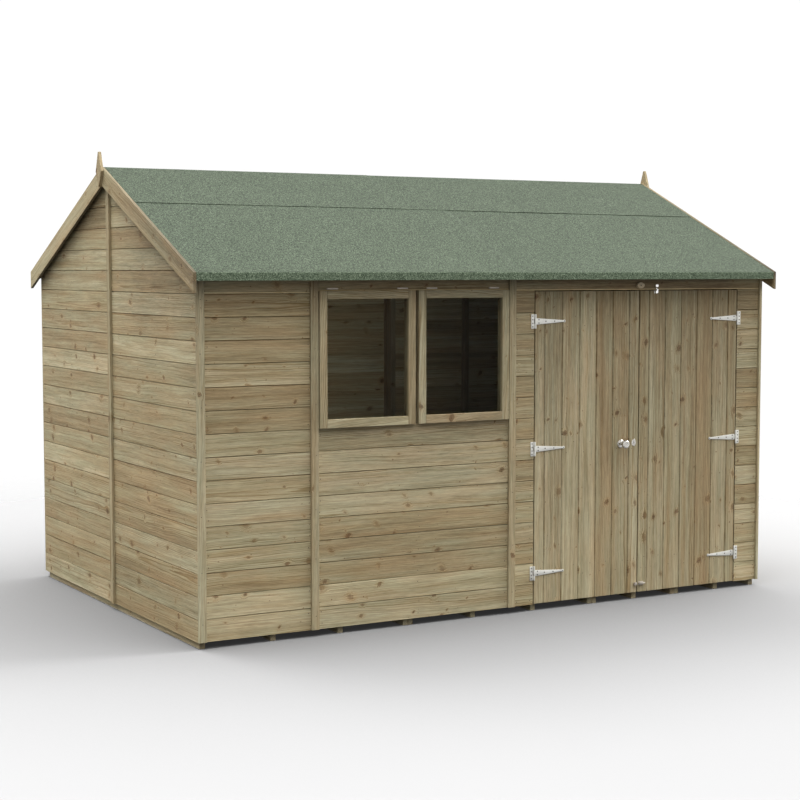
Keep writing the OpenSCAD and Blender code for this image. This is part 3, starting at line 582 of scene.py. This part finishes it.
# ------------------------------------------------------------------ boards
def shiplap(cover, first=False, last=False, cup=0.0, d=T):
    """Outline of one board, p up from its foot and q out from its face: a rebate below, a lip above."""
    lo = [(0.0, -d), (0.0, -0.9), (0.8, 0.0)] if first else [(7.0, -d), (7.0, -7.2), (1.2, -7.2), (1.2, -0.8), (1.9, -0.05)]
    hi = [(cover - 0.8, 0.0), (cover, -0.9), (cover, -d)] if last else [(cover - 4.9, -0.05), (cover - 4.1, -1.0), (cover - 4.1, -6.8), (cover + 6.0, -6.8), (cover + 6.0, -d)]
    a, b = lo[-1][0], hi[0][0]
    mid = [(a + (b - a) * k / 4, cup * (1 - (2 * k / 4 - 1) ** 2)) for k in (1, 2, 3)]
    return lo + mid + hi


def rows(z0, z1, least=45.0):
    """Board heights from z0 to z1 on the common joints; a sliver joins the board below."""
    cuts = [z0] + [CLAD_Z + k * COVER for k in range(1, 30) if z0 + least < CLAD_Z + k * COVER < z1 - least] + [z1]
    return list(zip(cuts[:-1], cuts[1:]))


def wall(bag, O, A, Q, a0, a1, z0, z1, seed, segs=6, slope=None, jit=0.8):
    r = random.Random(seed)
    rr = rows(z0, z1)
    tprev = 0.0
    for k, (lo, hi) in enumerate(rr):
        t = r.uniform(-1, 1)
        if abs(t - tprev) < 0.35: t = r.uniform(-1, 1)
        tprev = t
        prof = shiplap(hi - lo, k == 0, k == len(rr) - 1, r.uniform(-0.25, 0.45))
        e0, e1 = a0 + r.uniform(0.2, 0.2 + jit), a1 - r.uniform(0.2, 0.2 + jit)
        f0 = (lambda p, e0=e0: e0); f1 = (lambda p, e1=e1: e1)
        if slope:
            f0 = (lambda p, lo=lo, e0=e0: max(e0, -slope(lo + p))) if a0 < 0 and a1 <= 0 else f0
            f1 = (lambda p, lo=lo, e1=e1: min(e1, slope(lo + p))) if a1 > 0 and a0 >= 0 else f1
        # boards above 1700 mm get a stronger painted highlight along their foot
        prism(bag, O + Z * lo + Q * r.uniform(-0.5, 0.15), A, Z, Q, prof, f0, f1, seed * 131 + k, (t, max(-1.4, min(1.4, r.gauss(0, 0.62))), -1.0 if lo > 1700 and not slope else 0.0), segs)


def gable_reach(z):
    """How far from the middle a gable board reaches at height z."""
    return max(2.0, (RIDGE - FELT_V - DECK_V - 1.2 - z) / TP)


def front(name, node, x0, x1, z0, z1, seed):
    b = Bag(); wall(b, Vector((0, -FY, 0)), X, -Y, x0, x1, z0, z1, seed)
    make(name, b, M_CLAD, "shed", [node])


front("front_left_boards", "front_left_panel", -IX, JOINT1 - 1, CLAD_Z, WALL_TOP, 11)
front("front_window_boards", "front_window_panel", JOINT1, JOINT2 - 1, CLAD_Z, SILL, 12)
front("window_header_boards", "window_header", JOINT1, JOINT2 - 1, HEAD + 5, WALL_TOP, 13)
front("door_side_left_boards", "door_side_left", JOINT2, DX0, CLAD_Z, HEAD, 14)
front("door_side_right_boards", "door_side_right", DX1, IX, CLAD_Z, HEAD, 15)
front("door_header_boards", "door_header", JOINT2, IX, HEAD, WALL_TOP, 16)
GTOP = z_under(2) - 1.5
for nm, node, s, sd in (("left_gable_boards", "left_gable_panels", -1, 21), ("right_gable_boards", "right_gable_panels", 1, 23)):
    b = Bag()
    wall(b, Vector((s * HX, 0, 0)), Y, X * s, -FY, -1, CLAD_Z, GTOP, sd, 5, gable_reach)
    wall(b, Vector((s * HX, 0, 0)), Y, X * s, 1, FY, CLAD_Z, GTOP, sd + 1, 5, gable_reach)
    make(nm, b, M_CLAD, "shed", [node])
b = Bag()
for i, (x0, x1) in enumerate(((-IX, -601), (-599, 599), (601, IX))):
    wall(b, Vector((0, FY, 0)), X, Y, x0, x1, CLAD_Z, WALL_TOP, 31 + i)
make("back_wall_boards", b, M_CLAD, "shed", ["back_wall_panels"])


def door_profile(w, first, last, cup):
    c = 4.5
    lo = [(0.0, -T), (0.0, -0.8), (0.8, 0.0)] if first else [(6.0, -T), (6.0, -6.4), (0.9, -6.4), (0.9, -c), (c, -0.03)]
    hi = [(w - 0.8, 0.0), (w, -0.8), (w, -T)] if last else [(w - c, -0.03), (w - 0.9, -c), (w - 0.9, -6.0), (w + 5.0, -6.0), (w + 5.0, -T)]
    a, e = lo[-1][0], hi[0][0]
    return lo + [(a + (e - a) * k / 4, cup * (1 - (2 * k / 4 - 1) ** 2)) for k in (1, 2, 3)] + hi


def leaf(name, node, body, x0, widths, seed):
    r = random.Random(seed); b = Bag(); x = x0
    for i, w in enumerate(widths):
        prof = door_profile(w, i == 0, i == len(widths) - 1, r.uniform(-0.2, 0.3))
        z0, z1 = 39.0 + r.uniform(0, 0.8), 1761.0 - r.uniform(0, 0.8)
        prism(b, Vector((x, -FY, 0)) - Y * r.uniform(-0.3, 0.1), Z, X, -Y, prof, lambda p: z0, lambda p: z1, seed * 77 + i,
              (r.uniform(-0.8, 0.8), r.gauss(0, 0.55)), 6)
        x += w
    make(name, b, M_DOOR, body, [node])


leaf("left_door_planks", "left_door_boards", "left_door", 199.0, (64, 116.5, 116.5, 114.5, 114.5, 114.5, 65), 41)
leaf("right_door_planks", "right_door_boards", "right_door", 912.5, (66, 116, 115, 115, 115, 115.5, 63), 43)

# floor boards run the length of the shed over the bearers
r = random.Random(51); b = Bag(); n = 20; wv = (2 * (IY - 6)) / n
for k in range(n):
    x_cut = (-IX + 2, -590 + (k % 2) * 380 + r.uniform(-1, 1), 800 - (k % 3) * 390 + r.uniform(-1, 1), IX - 2)
    x_cut = tuple(sorted(x_cut))
    for i in range(3):
        prof = [(0.3, -T), (0.3, -0.6), (0.8, 0), (wv * 0.5, r.uniform(-0.2, 0.2)), (wv - 1.1, 0), (wv - 0.6, -0.6), (wv - 0.6, -T)]
        prism(b, Vector((0, -IY + 6 + k * wv, 57.0)), X, Y, Z, prof, lambda p: x_cut[i] + 0.3, lambda p: x_cut[i + 1] - 0.3, 5100 + k * 3 + i, (r.uniform(-1, 1), r.gauss(0, 0.5)), 4)
make("floor_planks", b, M_FLOOR, "shed", ["floor_boards"])

# roof boards, their good face down
for nm, node, t, sd in (("front_roof_boards", "roof_deck_front", -1, 61), ("back_roof_boards", "roof_deck_back", 1, 63)):
    r = random.Random(sd); b = Bag()
    L = (EAVE - 8.5 - 0.5) / CP; n = 12; wv = L / n
    P = Vector((0, t * CP, -SP)); Q = Vector((0, -t * SP, -CP))
    O = Vector((0, t * 0.5, z_under(0.5)))
    for k in range(n):
        cuts = (-ROOF_X, r.uniform(-700, -300) if k % 2 else r.uniform(200, 700), ROOF_X)
        for i in range(2):
            w1 = wv - 0.4 if k < n - 1 else wv
            prof = [(0.4, -T + 0.4), (0.4, -1.6), (2.0, 0), (w1 * 0.5, 0), (w1 - 1.6, 0), (w1, -1.6), (w1, -T + 0.4)]
            prism(b, O + P * (k * wv), X, P, Q, prof, lambda p: cuts[i] + 0.3, lambda p: cuts[i + 1] - 0.3, sd * 100 + k * 2 + i, (r.uniform(-1, 1), r.gauss(0, 0.5)), 4, wob=0.05)
    make(nm, b, M_FLOOR, "shed", [node])


# ------------------------------------------------------------------ timbers
def timbers(name, node, mat, body, slot, seed, bev=1.2, **kw):
    b = from_cad(Bag(), node, seed, bev, **kw)
    return make(name, b, mat, body, [node])


timbers("bearer_timbers", "floor_bearers", M_BEAR, "shed", "frame_wood", 71, 1.6)
timbers("front_framing", "front_frame", M_FRAME, "shed", "frame_wood", 72, 1.6)
timbers("back_framing", "back_frame", M_FRAME, "shed", "frame_wood", 73, 1.6)
timbers("gable_framing", "gable_frames", M_FRAME, "shed", "frame_wood", 74, 1.6)
timbers("cover_strips", "cover_battens", M_TRIM, "shed", "trim_wood", 75, 1.6, cuts=30)
timbers("corner_strips", "corner_trims", M_TRIM, "shed", "trim_wood", 76, 1.6, cuts=30)
timbers("left_casement_frame", "left_casement", M_SASH, "shed", "casement_wood", 77, 1.3)
timbers("right_casement_frame", "right_casement", M_SASH, "shed", "casement_wood", 78, 1.3, light=(-0.8, 0.3))
timbers("left_door_ledging", "left_door_ledges", M_LEDGE, "left_door", "frame_wood", 79, 1.6)
timbers("right_door_ledging", "right_door_ledges", M_LEDGE, "right_door", "frame_wood", 80, 1.6)
timbers("eaves_timbers", "eaves_battens", M_FRAME, "shed", "frame_wood", 81, 1.2)
timbers("purlin_timbers", "purlins", M_FRAME, "shed", "frame_wood", 82, 1.6)
# bargeboards: painted shade on their top and under faces
timbers("barge_timbers", "bargeboards", M_BARGE, "shed", "barge_wood", 83, 1.6, weather=1.5)
timbers("finial_timbers", "finials", M_BARGE, "shed", "barge_wood", 84, 1.2, axis=Z, light=(-1.6, 0.2), tone=(0.4, 0.2))
timbers("button_timber", "turn_button", M_BUTTON, "shed", "trim_wood", 85, 3.0, axis=X, seg=3, light=(3.0, 0.1))
timbers("glass_panes", "window_glass", M_GLASS, "shed", "glazing", 86, 0.5, axis=X, smooth=False)


# ------------------------------------------------------------------ felt
def felt_sheet(bag, t, prof, joint, thick, amp, low, seed, ends=ROOF_X):
    """Sheet over one line of the roof. prof gives (y, z, out_y, out_z, d) down the slope; joint(d) is where two lengths lap."""
    nx = 72
    base = len(bag.v); cols = None
    s = seed * 1.7
    grid = []
    for k, (y, z, ny, nz, d) in enumerate(prof):
        xj = joint(d)
        xs = [-ends + (xj - 1.4 + ends) * i / nx for i in range(nx + 1)] + [xj + 1.4 + (ends - xj - 1.4) * i / nx for i in range(nx + 1)]
        cols = len(xs)
        row = []
        for i, x in enumerate(xs):
            lap = 0.0 if i <= nx else -1.5
            h = amp * (noise.noise((x * 0.0023, d * 0.0031, s)) + 0.5 * noise.noise((x * 0.009, d * 0.008, s + 7)) + 0.22 * noise.noise((x * 0.03, d * 0.03, s + 3))) + low + lap
            row.append((x, min(y + ny * h, EAVE - 0.05), z + nz * h, x, d))
        grid.append(row)
    m = len(grid)
    for side in (0, 1):
        for k, row in enumerate(grid):
            ny, nz = prof[k][2], prof[k][3]
            for (x, y, z, _, _) in row:
                bag.v.append(Vector((x, t * (y - ny * thick * side), z - nz * thick * side)))
    N = m * cols
    def g(q):
        q %= N
        row = grid[q // cols][q % cols]
        return (row[3] * 0.001, row[4] * 0.001 + (3.0 if t > 0 else 0.0), s)
    # tone x ramps to 1 where the felt turns down over the eaves, which the felt material paints paler
    def tn(q):
        k = (q - base) % N // cols
        return (max(0.0, min(1.0, (k - (m - 12)) / 4.0)), 0.0, 0.0)
    def quad(a, b, c, d, sm=True):
        bag.face((a, b, c, d), (g(a - base), g(b - base), g(c - base), g(d - base)), (tn(a), tn(b), tn(c), tn(d)), sm)
    for k in range(m - 1):
        for i in range(cols - 1):
            a = base + k * cols + i
            quad(a, a + 1, a + cols + 1, a + cols)
            quad(a + N, a + N + cols, a + N + cols + 1, a + N + 1)
    for i in range(cols - 1):
        a = base + i; quad(a, a + N, a + N + 1, a + 1, False)
        a = base + (m - 1) * cols + i; quad(a, a + 1, a + N + 1, a + N, False)
    for k in range(m - 1):
        a = base + k * cols; quad(a, a + cols, a + cols + N, a + N, False)
        a = base + k * cols + cols - 1; quad(a, a + N, a + N + cols, a + cols, False)


b = Bag()
for t, sd in ((-1, 3), (1, 5)):
    prof = []
    n = 44; rc = 4.0; turn = math.radians(90 - 24.1)
    y_end = EAVE - rc * math.tan(turn / 2) * CP
    for k in range(n + 1):
        y = 1.0 + (y_end - 1.0) * k / n
        prof.append((y, z_felt(y), SP, CP, y / CP))
    c_y, c_z = y_end - SP * rc, z_felt(y_end) - CP * rc
    d0 = y_end / CP
    for k in range(1, 6):
        a = math.radians(90 - 24.1) * k / 5
        ny, nz = math.sin(math.radians(24.1) + a), math.cos(math.radians(24.1) + a)
        prof.append((c_y + ny * rc, c_z + nz * rc, ny, nz, d0 + rc * a))
    zt = c_z
    for k in range(1, 7):
        prof.append((EAVE, zt + (z_felt(EAVE) - 40.0 - zt) * k / 6, 1.0, 0.0, d0 + rc * turn + (zt - z_felt(EAVE) + 40.0) * k / 6))
    felt_sheet(b, t, prof, (lambda d: 53.0 if d > 560 else 53.0 + (560 - d) * 0.02) if t < 0 else (lambda d: -40.0), 2.2, 0.5, -0.1, sd)
make("felt_slopes", b, M_FELT, "shed", ["roof_felt"], sharp=50)

# ridge sheet: over the top and down both slopes, its front edge a little out of true
b = Bag()
def ridge_half(x):
    f = (x + ROOF_X) / (2 * ROOF_X)
    return 506.0 + (21.0 * f * 2 if f < 0.5 else 21.0 + 30.0 * (f - 0.5) * 2) + 1.6 * noise.noise((x * 0.004, 0.5, 2.2))
nx, nk, s = 72, 20, 9.9
rc = 16.0
def ridge_point(x, d, lift):
    """Point on the ridge sheet d along from the front edge's foot, negative to the front."""
    sgn = -1 if d < 0 else 1
    ad = abs(d)
    half = math.radians(24.1)
    arc = rc * half
    top = z_felt(0) + FELT_V
    cz = top - rc / CP
    if ad < arc:
        a = ad / rc
        ny, nz = math.sin(a), math.cos(a)
        y, z = ny * rc, cz + nz * rc
    else:
        ny, nz = SP, CP
        y, z = SP * rc + (ad - arc) * CP, cz + CP * rc - (ad - arc) * SP
    return Vector((x, sgn * (y + ny * lift), z + nz * lift)), sgn * ny, nz
joint = lambda d: -204.0 + 0.075 * d if d < 0 else -204.0
grid = []
ts = [-1 + k / nk for k in range(nk)] + [-0.012, -0.006, 0.0, 0.006, 0.012] + [k / nk for k in range(1, nk + 1)]
for tt in ts:
    row = []
    xj0 = joint(tt * 525)
    xs = [-ROOF_X + (xj0 - 1.4 + ROOF_X) * i / nx for i in range(nx + 1)] + [xj0 + 1.4 + (ROOF_X - xj0 - 1.4) * i / nx for i in range(nx + 1)]
    for i, x in enumerate(xs):
        d = tt * (ridge_half(x) if tt < 0 else 530.0 + 1.2 * noise.noise((x * 0.004, 8.5, 2.2)))
        h = 0.45 * (noise.noise((x * 0.0023, d * 0.0031, s)) + 0.5 * noise.noise((x * 0.009, d * 0.008, s + 7))) - 0.35 + (0 if i <= nx else -1.2)
        p, ny, nz = ridge_point(x, d, h)
        row.append((p, ny, nz, x, d))
    grid.append(row)
cols, m = len(grid[0]), len(grid)
N = cols * m
for side in (0, 1):
    for row in grid:
        for p, ny, nz, _, _ in row:
            b.v.append(p - Vector((0, ny, nz)) * (2.6 * side))
def g(q):
    row = grid[(q % N) // cols][(q % N) % cols]
    return (row[3] * 0.001 + 9.0, row[4] * 0.001, s)
def quad(*ids, sm=True):
    b.face(ids, [g(q) for q in ids], [(0.0, 0.0, 0.0)] * 4, sm)
for k in range(m - 1):
    for i in range(cols - 1):
        a = k * cols + i
        quad(a, a + 1, a + cols + 1, a + cols); quad(a + N, a + N + cols, a + N + cols + 1, a + N + 1)
for i in range(cols - 1):
    quad(i, i + N, i + N + 1, i + 1, sm=False)
    a = (m - 1) * cols + i; quad(a, a + 1, a + N + 1, a + N, sm=False)
for k in range(m - 1):
    a = k * cols; quad(a, a + cols, a + cols + N, a + N, sm=False)
    a = k * cols + cols - 1; quad(a, a + N, a + N + cols, a + cols, sm=False)
make("felt_ridge", b, M_FELT, "shed", ["ridge_felt"], sharp=50)


# ------------------------------------------------------------------ ironmongery
def iron(name, node, mat, body, slot, seed, bev=0.5, seg=2, **kw):
    b = from_cad(Bag(), node, seed, bev, seg, smooth=True, **kw)
    return make(name, b, mat, body, [node], sharp=35)


iron("left_strap_irons", "left_door_straps", M_ZINC, "left_door", "zinc", 91, 0.6, axis=X)
iron("right_strap_irons", "right_door_straps", M_ZINC, "right_door", "zinc", 92, 0.6, axis=X)
iron("left_hinge_irons", "left_hinge_plates", M_ZINC, "shed", "zinc", 93, 0.6, axis=Z)
iron("right_hinge_irons", "right_hinge_plates", M_ZINC, "shed", "zinc", 94, 0.6, axis=Z)
iron("window_hinge_irons", "window_hinges", M_BOLT, "shed", "zinc", 95, 0.6, axis=X)
iron("top_bolt_iron", "top_bolt", M_BRIGHT, "right_door", "zinc", 96, 0.7, axis=Z)
iron("top_keeper_iron", "top_bolt_keeper", M_BRIGHT, "shed", "zinc", 97, 0.7, axis=Z)
iron("foot_bolt_iron", "bottom_bolt", M_BOLT, "right_door", "zinc", 98, 0.7, axis=X)
iron("foot_keeper_iron", "bottom_bolt_keeper", M_BOLT, "left_door", "zinc", 99, 0.7, axis=X)
iron("lock_case_iron", "rim_lock", M_CASE, "left_door", "lock_case", 100, 2.0, 3, axis=X)

# screws in the straps and plates
for body, xa, sg, sd in (("left_door", 196.0, 1, 200), ("right_door", 1621.0, -1, 300)):
    b = Bag(); p = Bag()
    for i, z in enumerate(HINGE_Z):
        for k, (dx, dz) in enumerate(((24, 9.0), (24, -9.0), (70, 0), (128, 0), (193.5, 0))):
            screw(b, Vector((xa + sg * dx, -FY - 3.0, z + dz)), -Y, 3.8 if dx < 190 else 3.2, sd + i * 9 + k)
        for k, (dx, dz) in enumerate(((16, 29), (16, -29), (16, 10), (16, -10))):
            screw(p, Vector((xa - sg * dx, -FY - 2.5, z + dz)), -Y, 3.8, sd + 50 + i * 9 + k)
    make(body + "_strap_screws", b, M_SCREW, body)
    make(body + "_plate_screws", p, M_SCREW, "shed")

# knob, rose and keyhole plate
KX, KZ = 784.0, 898.0
b = Bag()
lathe(b, Vector((KX, -FY, KZ)), -Y, X, [(0, -35.0), (4.9, -35.0), (4.9, 5.6), (8.8, 5.6), (8.0, 12), (7.4, 24), (9, 32), (14, 37), (21, 40), (24.5, 44), (25, 48.5), (23.5, 53), (20, 56.8), (15, 58.6), (9, 57.6), (3, 56.8), (0, 56.7)], n=56, round_it=2)
yi = -FY + 12 + 22 + 25
lathe(b, Vector((KX, yi + 0.5, KZ)), Y, X, [(0, -26.0), (4.9, -26.0), (4.9, 0), (11, 0), (8, 5), (8, 14), (17, 20), (20, 27), (17, 33), (9, 35), (0, 35.4)], n=48, round_it=2)
make("knob_turned", b, M_SATIN, "knob", ["door_knob"])
b = Bag()
lathe(b, Vector((KX, -FY, KZ)), -Y, X, [(5.2, 0.1), (23, 0.1), (23, 1.6), (22.3, 2.6), (20.2, 3.4), (19.6, 4.3), (14, 5.0), (9.4, 5.2), (5.2, 5.2), (5.2, 0.1)], n=56)
def keyplate(bag, cx, cz, a, c, y0, th, n=48):
    """Oval plate with a keyhole cut through it."""
    outer = [(a * math.cos(2 * math.pi * i / n), c * math.sin(2 * math.pi * i / n)) for i in range(n)]
    hole = []
    for i in range(n):
        ang = 2 * math.pi * i / n
        x, z = math.cos(ang), math.sin(ang)
        # round top of radius 3.4 at +3.5, slot 3.4 wide down to -8
        best = 0.1
        for k in range(1, 140):
            rr = k * 0.1
            px, pz = x * rr, z * rr
            if (px * px + (pz - 3.2) ** 2 < 3.5 ** 2) or (abs(px) < 1.8 and -8.0 < pz < 3.2): best = rr
            else: break
        hole.append((x * best, z * best))
    base = len(bag.v)
    levels = [(outer, 0.0, 1.0), (outer, th * 0.6, 1.0), (outer, th, 0.93), (hole, th, 1.0), (hole, 0.0, 1.0)]
    for pts, h, k in levels:
        bag.v.extend(Vector((cx + p[0] * k, y0 - h, cz + p[1] * k)) for p in pts)
    L = len(levels)
    for q in range(L):
        for i in range(n):
            j = (i + 1) % n
            ids = (base + q * n + i, base + q * n + j, base + ((q + 1) % L) * n + j, base + ((q + 1) % L) * n + i)
            bag.face(ids, [(bag.v[w].x * 0.001, bag.v[w].z * 0.001, 4.0) for w in ids], [(0.0, 0.0, 0.0)] * 4, q < 2)
keyplate(b, 875.0, 900.0, 15.0, 19.5, -FY, 2.0)
make("rose_and_keyplate", b, M_SATIN, "left_door", ["lock_plates"], sharp=40)
b = Bag()
lathe(b, Vector((875.0, -FY + 0.3, 900.0)), -Y, X, [(0, -0.2), (11.0, -0.2), (11.0, 0.5), (10.5, 0.7), (0, 0.7)], n=32)
for dz in (-14.5, 14.5): screw(b, Vector((875.0, -FY - 2.0, 900.0 + dz)), -Y, 1.7, 410 + int(dz), 0.5)
for k in range(3):
    a = math.radians(90 + 120 * k)
    screw(b, Vector((KX + 17.2 * math.cos(a), -FY - 4.3, KZ + 17.2 * math.sin(a))), -Y, 1.7, 420 + k, 0.5)
for x, z in ((750, 937), (883, 937), (750, 859), (883, 859)):
    screw(b, Vector((x, -1127.0, z)), Y, 3.2, 430 + x + z)
make("lock_screws", b, M_SCREW, "left_door")
b = Bag()
screw(b, Vector((906.5, -FY - 14.0, 1790.0)), -Y, 4.2, 440)
make("header_screws", b, M_SCREW, "shed")

# ------------------------------------------------------------------ nails
r = random.Random(500); b = Bag()
def board_nails(O, A, D, a, z0, z1, rad=2.9, skip=0.0):
    for (lo, hi) in rows(z0, z1):
        for f in (0.24, 0.74):
            if r.random() < skip: continue
            nail(b, O + A * (a + r.uniform(-7, 7)) + Z * (lo + (hi - lo) * f + r.uniform(-5, 5)), D, rad, r.randrange(10 ** 6))
for s in (-1, 1):
    for a in (-1150, -660, -42, 42, 660, 1150):
        board_nails(Vector((s * HX, 0, 0)), Y, X * s, a, CLAD_Z, min(WALL_TOP, z_under(abs(a) + 20) - 60), skip=0.12)
for a, z0, z1 in ((-1184, CLAD_Z, WALL_TOP - 60), (-1745, CLAD_Z, WALL_TOP - 60), (-540, CLAD_Z, SILL), (-1118, CLAD_Z, SILL), (11, CLAD_Z, SILL), (80, CLAD_Z, HEAD), (176, CLAD_Z, HEAD), (1641, CLAD_Z, HEAD), (1764, CLAD_Z, HEAD)):
    board_nails(Vector((0, -FY, 0)), X, -Y, a, z0, z1, 2.6, 0.2)
for a in (-1200, -632, -568, 0, 568, 632, 1200):
    board_nails(Vector((0, FY, 0)), X, Y, a, CLAD_Z, WALL_TOP - 20, 2.8, 0.1)
# trims and bargeboards
for x in (-1778.5, 1778.5, -1149.5, 48.5):
    for k in range(7): nail(b, Vector((x + r.uniform(-4, 4), -HY, 120 + k * 270 + r.uniform(-15, 15))), -Y, 2.6, r.randrange(10 ** 6))
for x in (-1778.5, 1778.5, -600, 600):
    for k in range(7): nail(b, Vector((x + r.uniform(-4, 4), HY, 120 + k * 270 + r.uniform(-15, 15))), Y, 2.6, r.randrange(10 ** 6))
for s in (-1, 1):
    for k in range(9): nail(b, Vector((s * (HX + 14), -5 + r.uniform(-4, 4), 120 + k * 265 + r.uniform(-15, 15))), X * s, 2.6, r.randrange(10 ** 6))
    for t in (-1, 1):
        for y in (80, 420, 780, 1120, 1228):
            for dz in (30, 68): nail(b, Vector((s * (ROOF_X + 16.5), t * (y + r.uniform(-6, 6)), z_felt(y) - dz + r.uniform(-3, 3))), X * s, 4.2 if y > 1200 else 3.0, r.randrange(10 ** 6))
    for z in (2440, 2395): nail(b, Vector((s * (ROOF_X + 31.8), r.uniform(-3, 3), z)), X * s, 2.4, r.randrange(10 ** 6))
make("shed_nails", b, M_NAIL, "shed")
for body, x0, w, sd in (("left_door", 199.0, (64, 116.5, 116.5, 114.5, 114.5, 114.5, 65), 510), ("right_door", 912.5, (66, 116, 115, 115, 115, 115.5, 63), 520)):
    r = random.Random(sd); b = Bag(); x = x0
    for q, ww in enumerate(w):
        for z in HINGE_Z:
            for dz, f in ((-28, 0.3), (26, 0.7)):
                px = x + ww * f + r.uniform(-5, 5)
                hinge_d = px - 196 if body == "left_door" else 1621 - px
                if hinge_d < 212 and abs(dz) < 20: continue
                if math.hypot(px - KX, z + dz - KZ) < 30 or math.hypot(px - 875, z + dz - 900) < 26: continue
                nail(b, Vector((px, -FY, z + dz + r.uniform(-5, 5))), -Y, 2.4, r.randrange(10 ** 6))
        x += ww
    make(body + "_nails", b, M_NAIL, body)

# ------------------------------------------------------------------ studio
FLOOR_SEEN, FLOOR_BOUNCE = (0.208, 0.208, 0.2085), (0.022, 0.022, 0.022)
floor_net = Net("studio_floor")
tc = floor_net.new("ShaderNodeTexCoord")
fn = floor_net.noise(tc.outputs["Object"], scale=0.7, detail=3)
# bright as a photographer's sweep to the eye, while it throws little light back up
lp = floor_net.new("ShaderNodeLightPath")
seen = floor_net.mix(fn, FLOOR_SEEN, tuple(c + 0.006 for c in FLOOR_SEEN))
# contact shade where the object stands
ao = floor_net.new("ShaderNodeAmbientOcclusion", samples=6)
ao.inputs["Distance"].default_value = 2.6
spf = floor_net.new("ShaderNodeSeparateXYZ"); floor_net.put(spf.inputs[0], tc.outputs["Object"])
# painted light: towards the right of the object the contact shade is weaker and the floor a little brighter
painted_right_light = floor_net.step(spf.outputs[0], 0.8, 2.6)
shade = floor_net.math("MULTIPLY", floor_net.math("SUBTRACT", 1.0, ao.outputs["AO"]), floor_net.math("MULTIPLY_ADD", painted_right_light, -0.38, 0.56))
seen = floor_net.scale(seen, floor_net.math("MULTIPLY", floor_net.math("SUBTRACT", 1.0, shade), floor_net.math("MULTIPLY_ADD", painted_right_light, 0.10, 1.01)))
# the floor also glows faintly to the camera, a painted light that lifts its deepest shade
floor_net.out(Emission_Strength=floor_net.math("MULTIPLY", lp.outputs["Is Camera Ray"], 0.022), Emission_Color=(1.0, 1.0, 1.0, 1.0), Base_Color=floor_net.mix(floor_net.math("MAXIMUM", lp.outputs["Is Camera Ray"], lp.outputs["Is Glossy Ray"]), FLOOR_BOUNCE, seen), Roughness=floor_net.math("MULTIPLY_ADD", fn, 0.1, 0.85), Specular_IOR_Level=0.0)
# the floor fades into the white surround far from the object
ln = floor_net.new("ShaderNodeVectorMath", operation="LENGTH"); floor_net.put(ln.inputs[0], tc.outputs["Object"])
fade = floor_net.step(ln.outputs["Value"], 2.6, 7.6)
tr = floor_net.new("ShaderNodeBsdfTransparent")
mx = floor_net.new("ShaderNodeMixShader")
outn = next(n for n in floor_net.t.nodes if n.type == "OUTPUT_MATERIAL")
floor_net.put(mx.inputs[0], fade); floor_net.put(mx.inputs[1], floor_net.bsdf.outputs[0]); floor_net.put(mx.inputs[2], tr.outputs[0])
floor_net.put(outn.inputs["Surface"], mx.outputs[0])
fm = bpy.data.meshes.new("studio_floor")
fm.from_pydata([(-14, -14, 0), (14, -14, 0), (14, 14, 0), (-14, 14, 0)], [], [(0, 1, 2, 3)])
fm.materials.append(floor_net.mat)
fl = bpy.data.objects.new("studio_floor", fm); scene.collection.objects.link(fl)

SKY_LOW, SKY_TOP = 0.52, 5.9
world = bpy.data.worlds.new("studio"); scene.world = world
world.use_nodes = True
wt = world.node_tree; bg = next(n for n in wt.nodes if n.type == "BACKGROUND")
tcw = wt.nodes.new("ShaderNodeTexCoord"); spw = wt.nodes.new("ShaderNodeSeparateXYZ"); mrw = wt.nodes.new("ShaderNodeMapRange"); mrw.interpolation_type = "SMOOTHSTEP"
wt.links.new(tcw.outputs["Generated"], spw.inputs[0]); wt.links.new(spw.outputs[2], mrw.inputs[0])
for i, q in enumerate((0.45, 1.0, SKY_LOW, SKY_TOP)): mrw.inputs[i + 1].default_value = q
lpw = wt.nodes.new("ShaderNodeLightPath"); mxw = wt.nodes.new("ShaderNodeMix")
mgw = wt.nodes.new("ShaderNodeMath"); mgw.operation = "MAXIMUM"
wt.links.new(lpw.outputs["Is Camera Ray"], mgw.inputs[0]); wt.links.new(lpw.outputs["Is Glossy Ray"], mgw.inputs[1])
wt.links.new(mgw.outputs[0], mxw.inputs[0]); wt.links.new(mrw.outputs[0], mxw.inputs[2]); mxw.inputs[3].default_value = 1.02
wt.links.new(mxw.outputs[0], bg.inputs["Strength"])
bg.inputs["Color"].default_value = (1.0, 1.0, 1.0, 1.0)


def sun(name, travel, strength, angle):
    l = bpy.data.lights.new(name, "SUN"); l.energy = strength; l.angle = math.radians(angle)
    o = bpy.data.objects.new(name, l); scene.collection.objects.link(o)
    o.rotation_mode = "QUATERNION"; o.rotation_quaternion = Vector(travel).to_track_quat("-Z", "Y")


sun("right_soft", (-0.86, 0.10, -0.55), 3.9, 26)
sun("rear_soft", (0.20, -0.70, -0.85), 2.2, 34)

# daylight that reaches the room through the left pane
wl = bpy.data.lights.new("pane_light", "AREA"); wl.shape = "RECTANGLE"; wl.size = 0.455; wl.size_y = 0.59; wl.energy = 2.4; wl.spread = math.radians(74)
wo = bpy.data.objects.new("pane_light", wl); scene.collection.objects.link(wo)
wo.location = (-0.848, -1.150, 1.422)
wo.rotation_mode = "QUATERNION"; wo.rotation_quaternion = Vector((0.19, 0.98, 0.0)).to_track_quat("-Z", "Y")
wo.visible_camera = wo.visible_transmission = wo.visible_glossy = False

scene.view_settings.view_transform = "Standard"
scene.view_settings.look = "None"
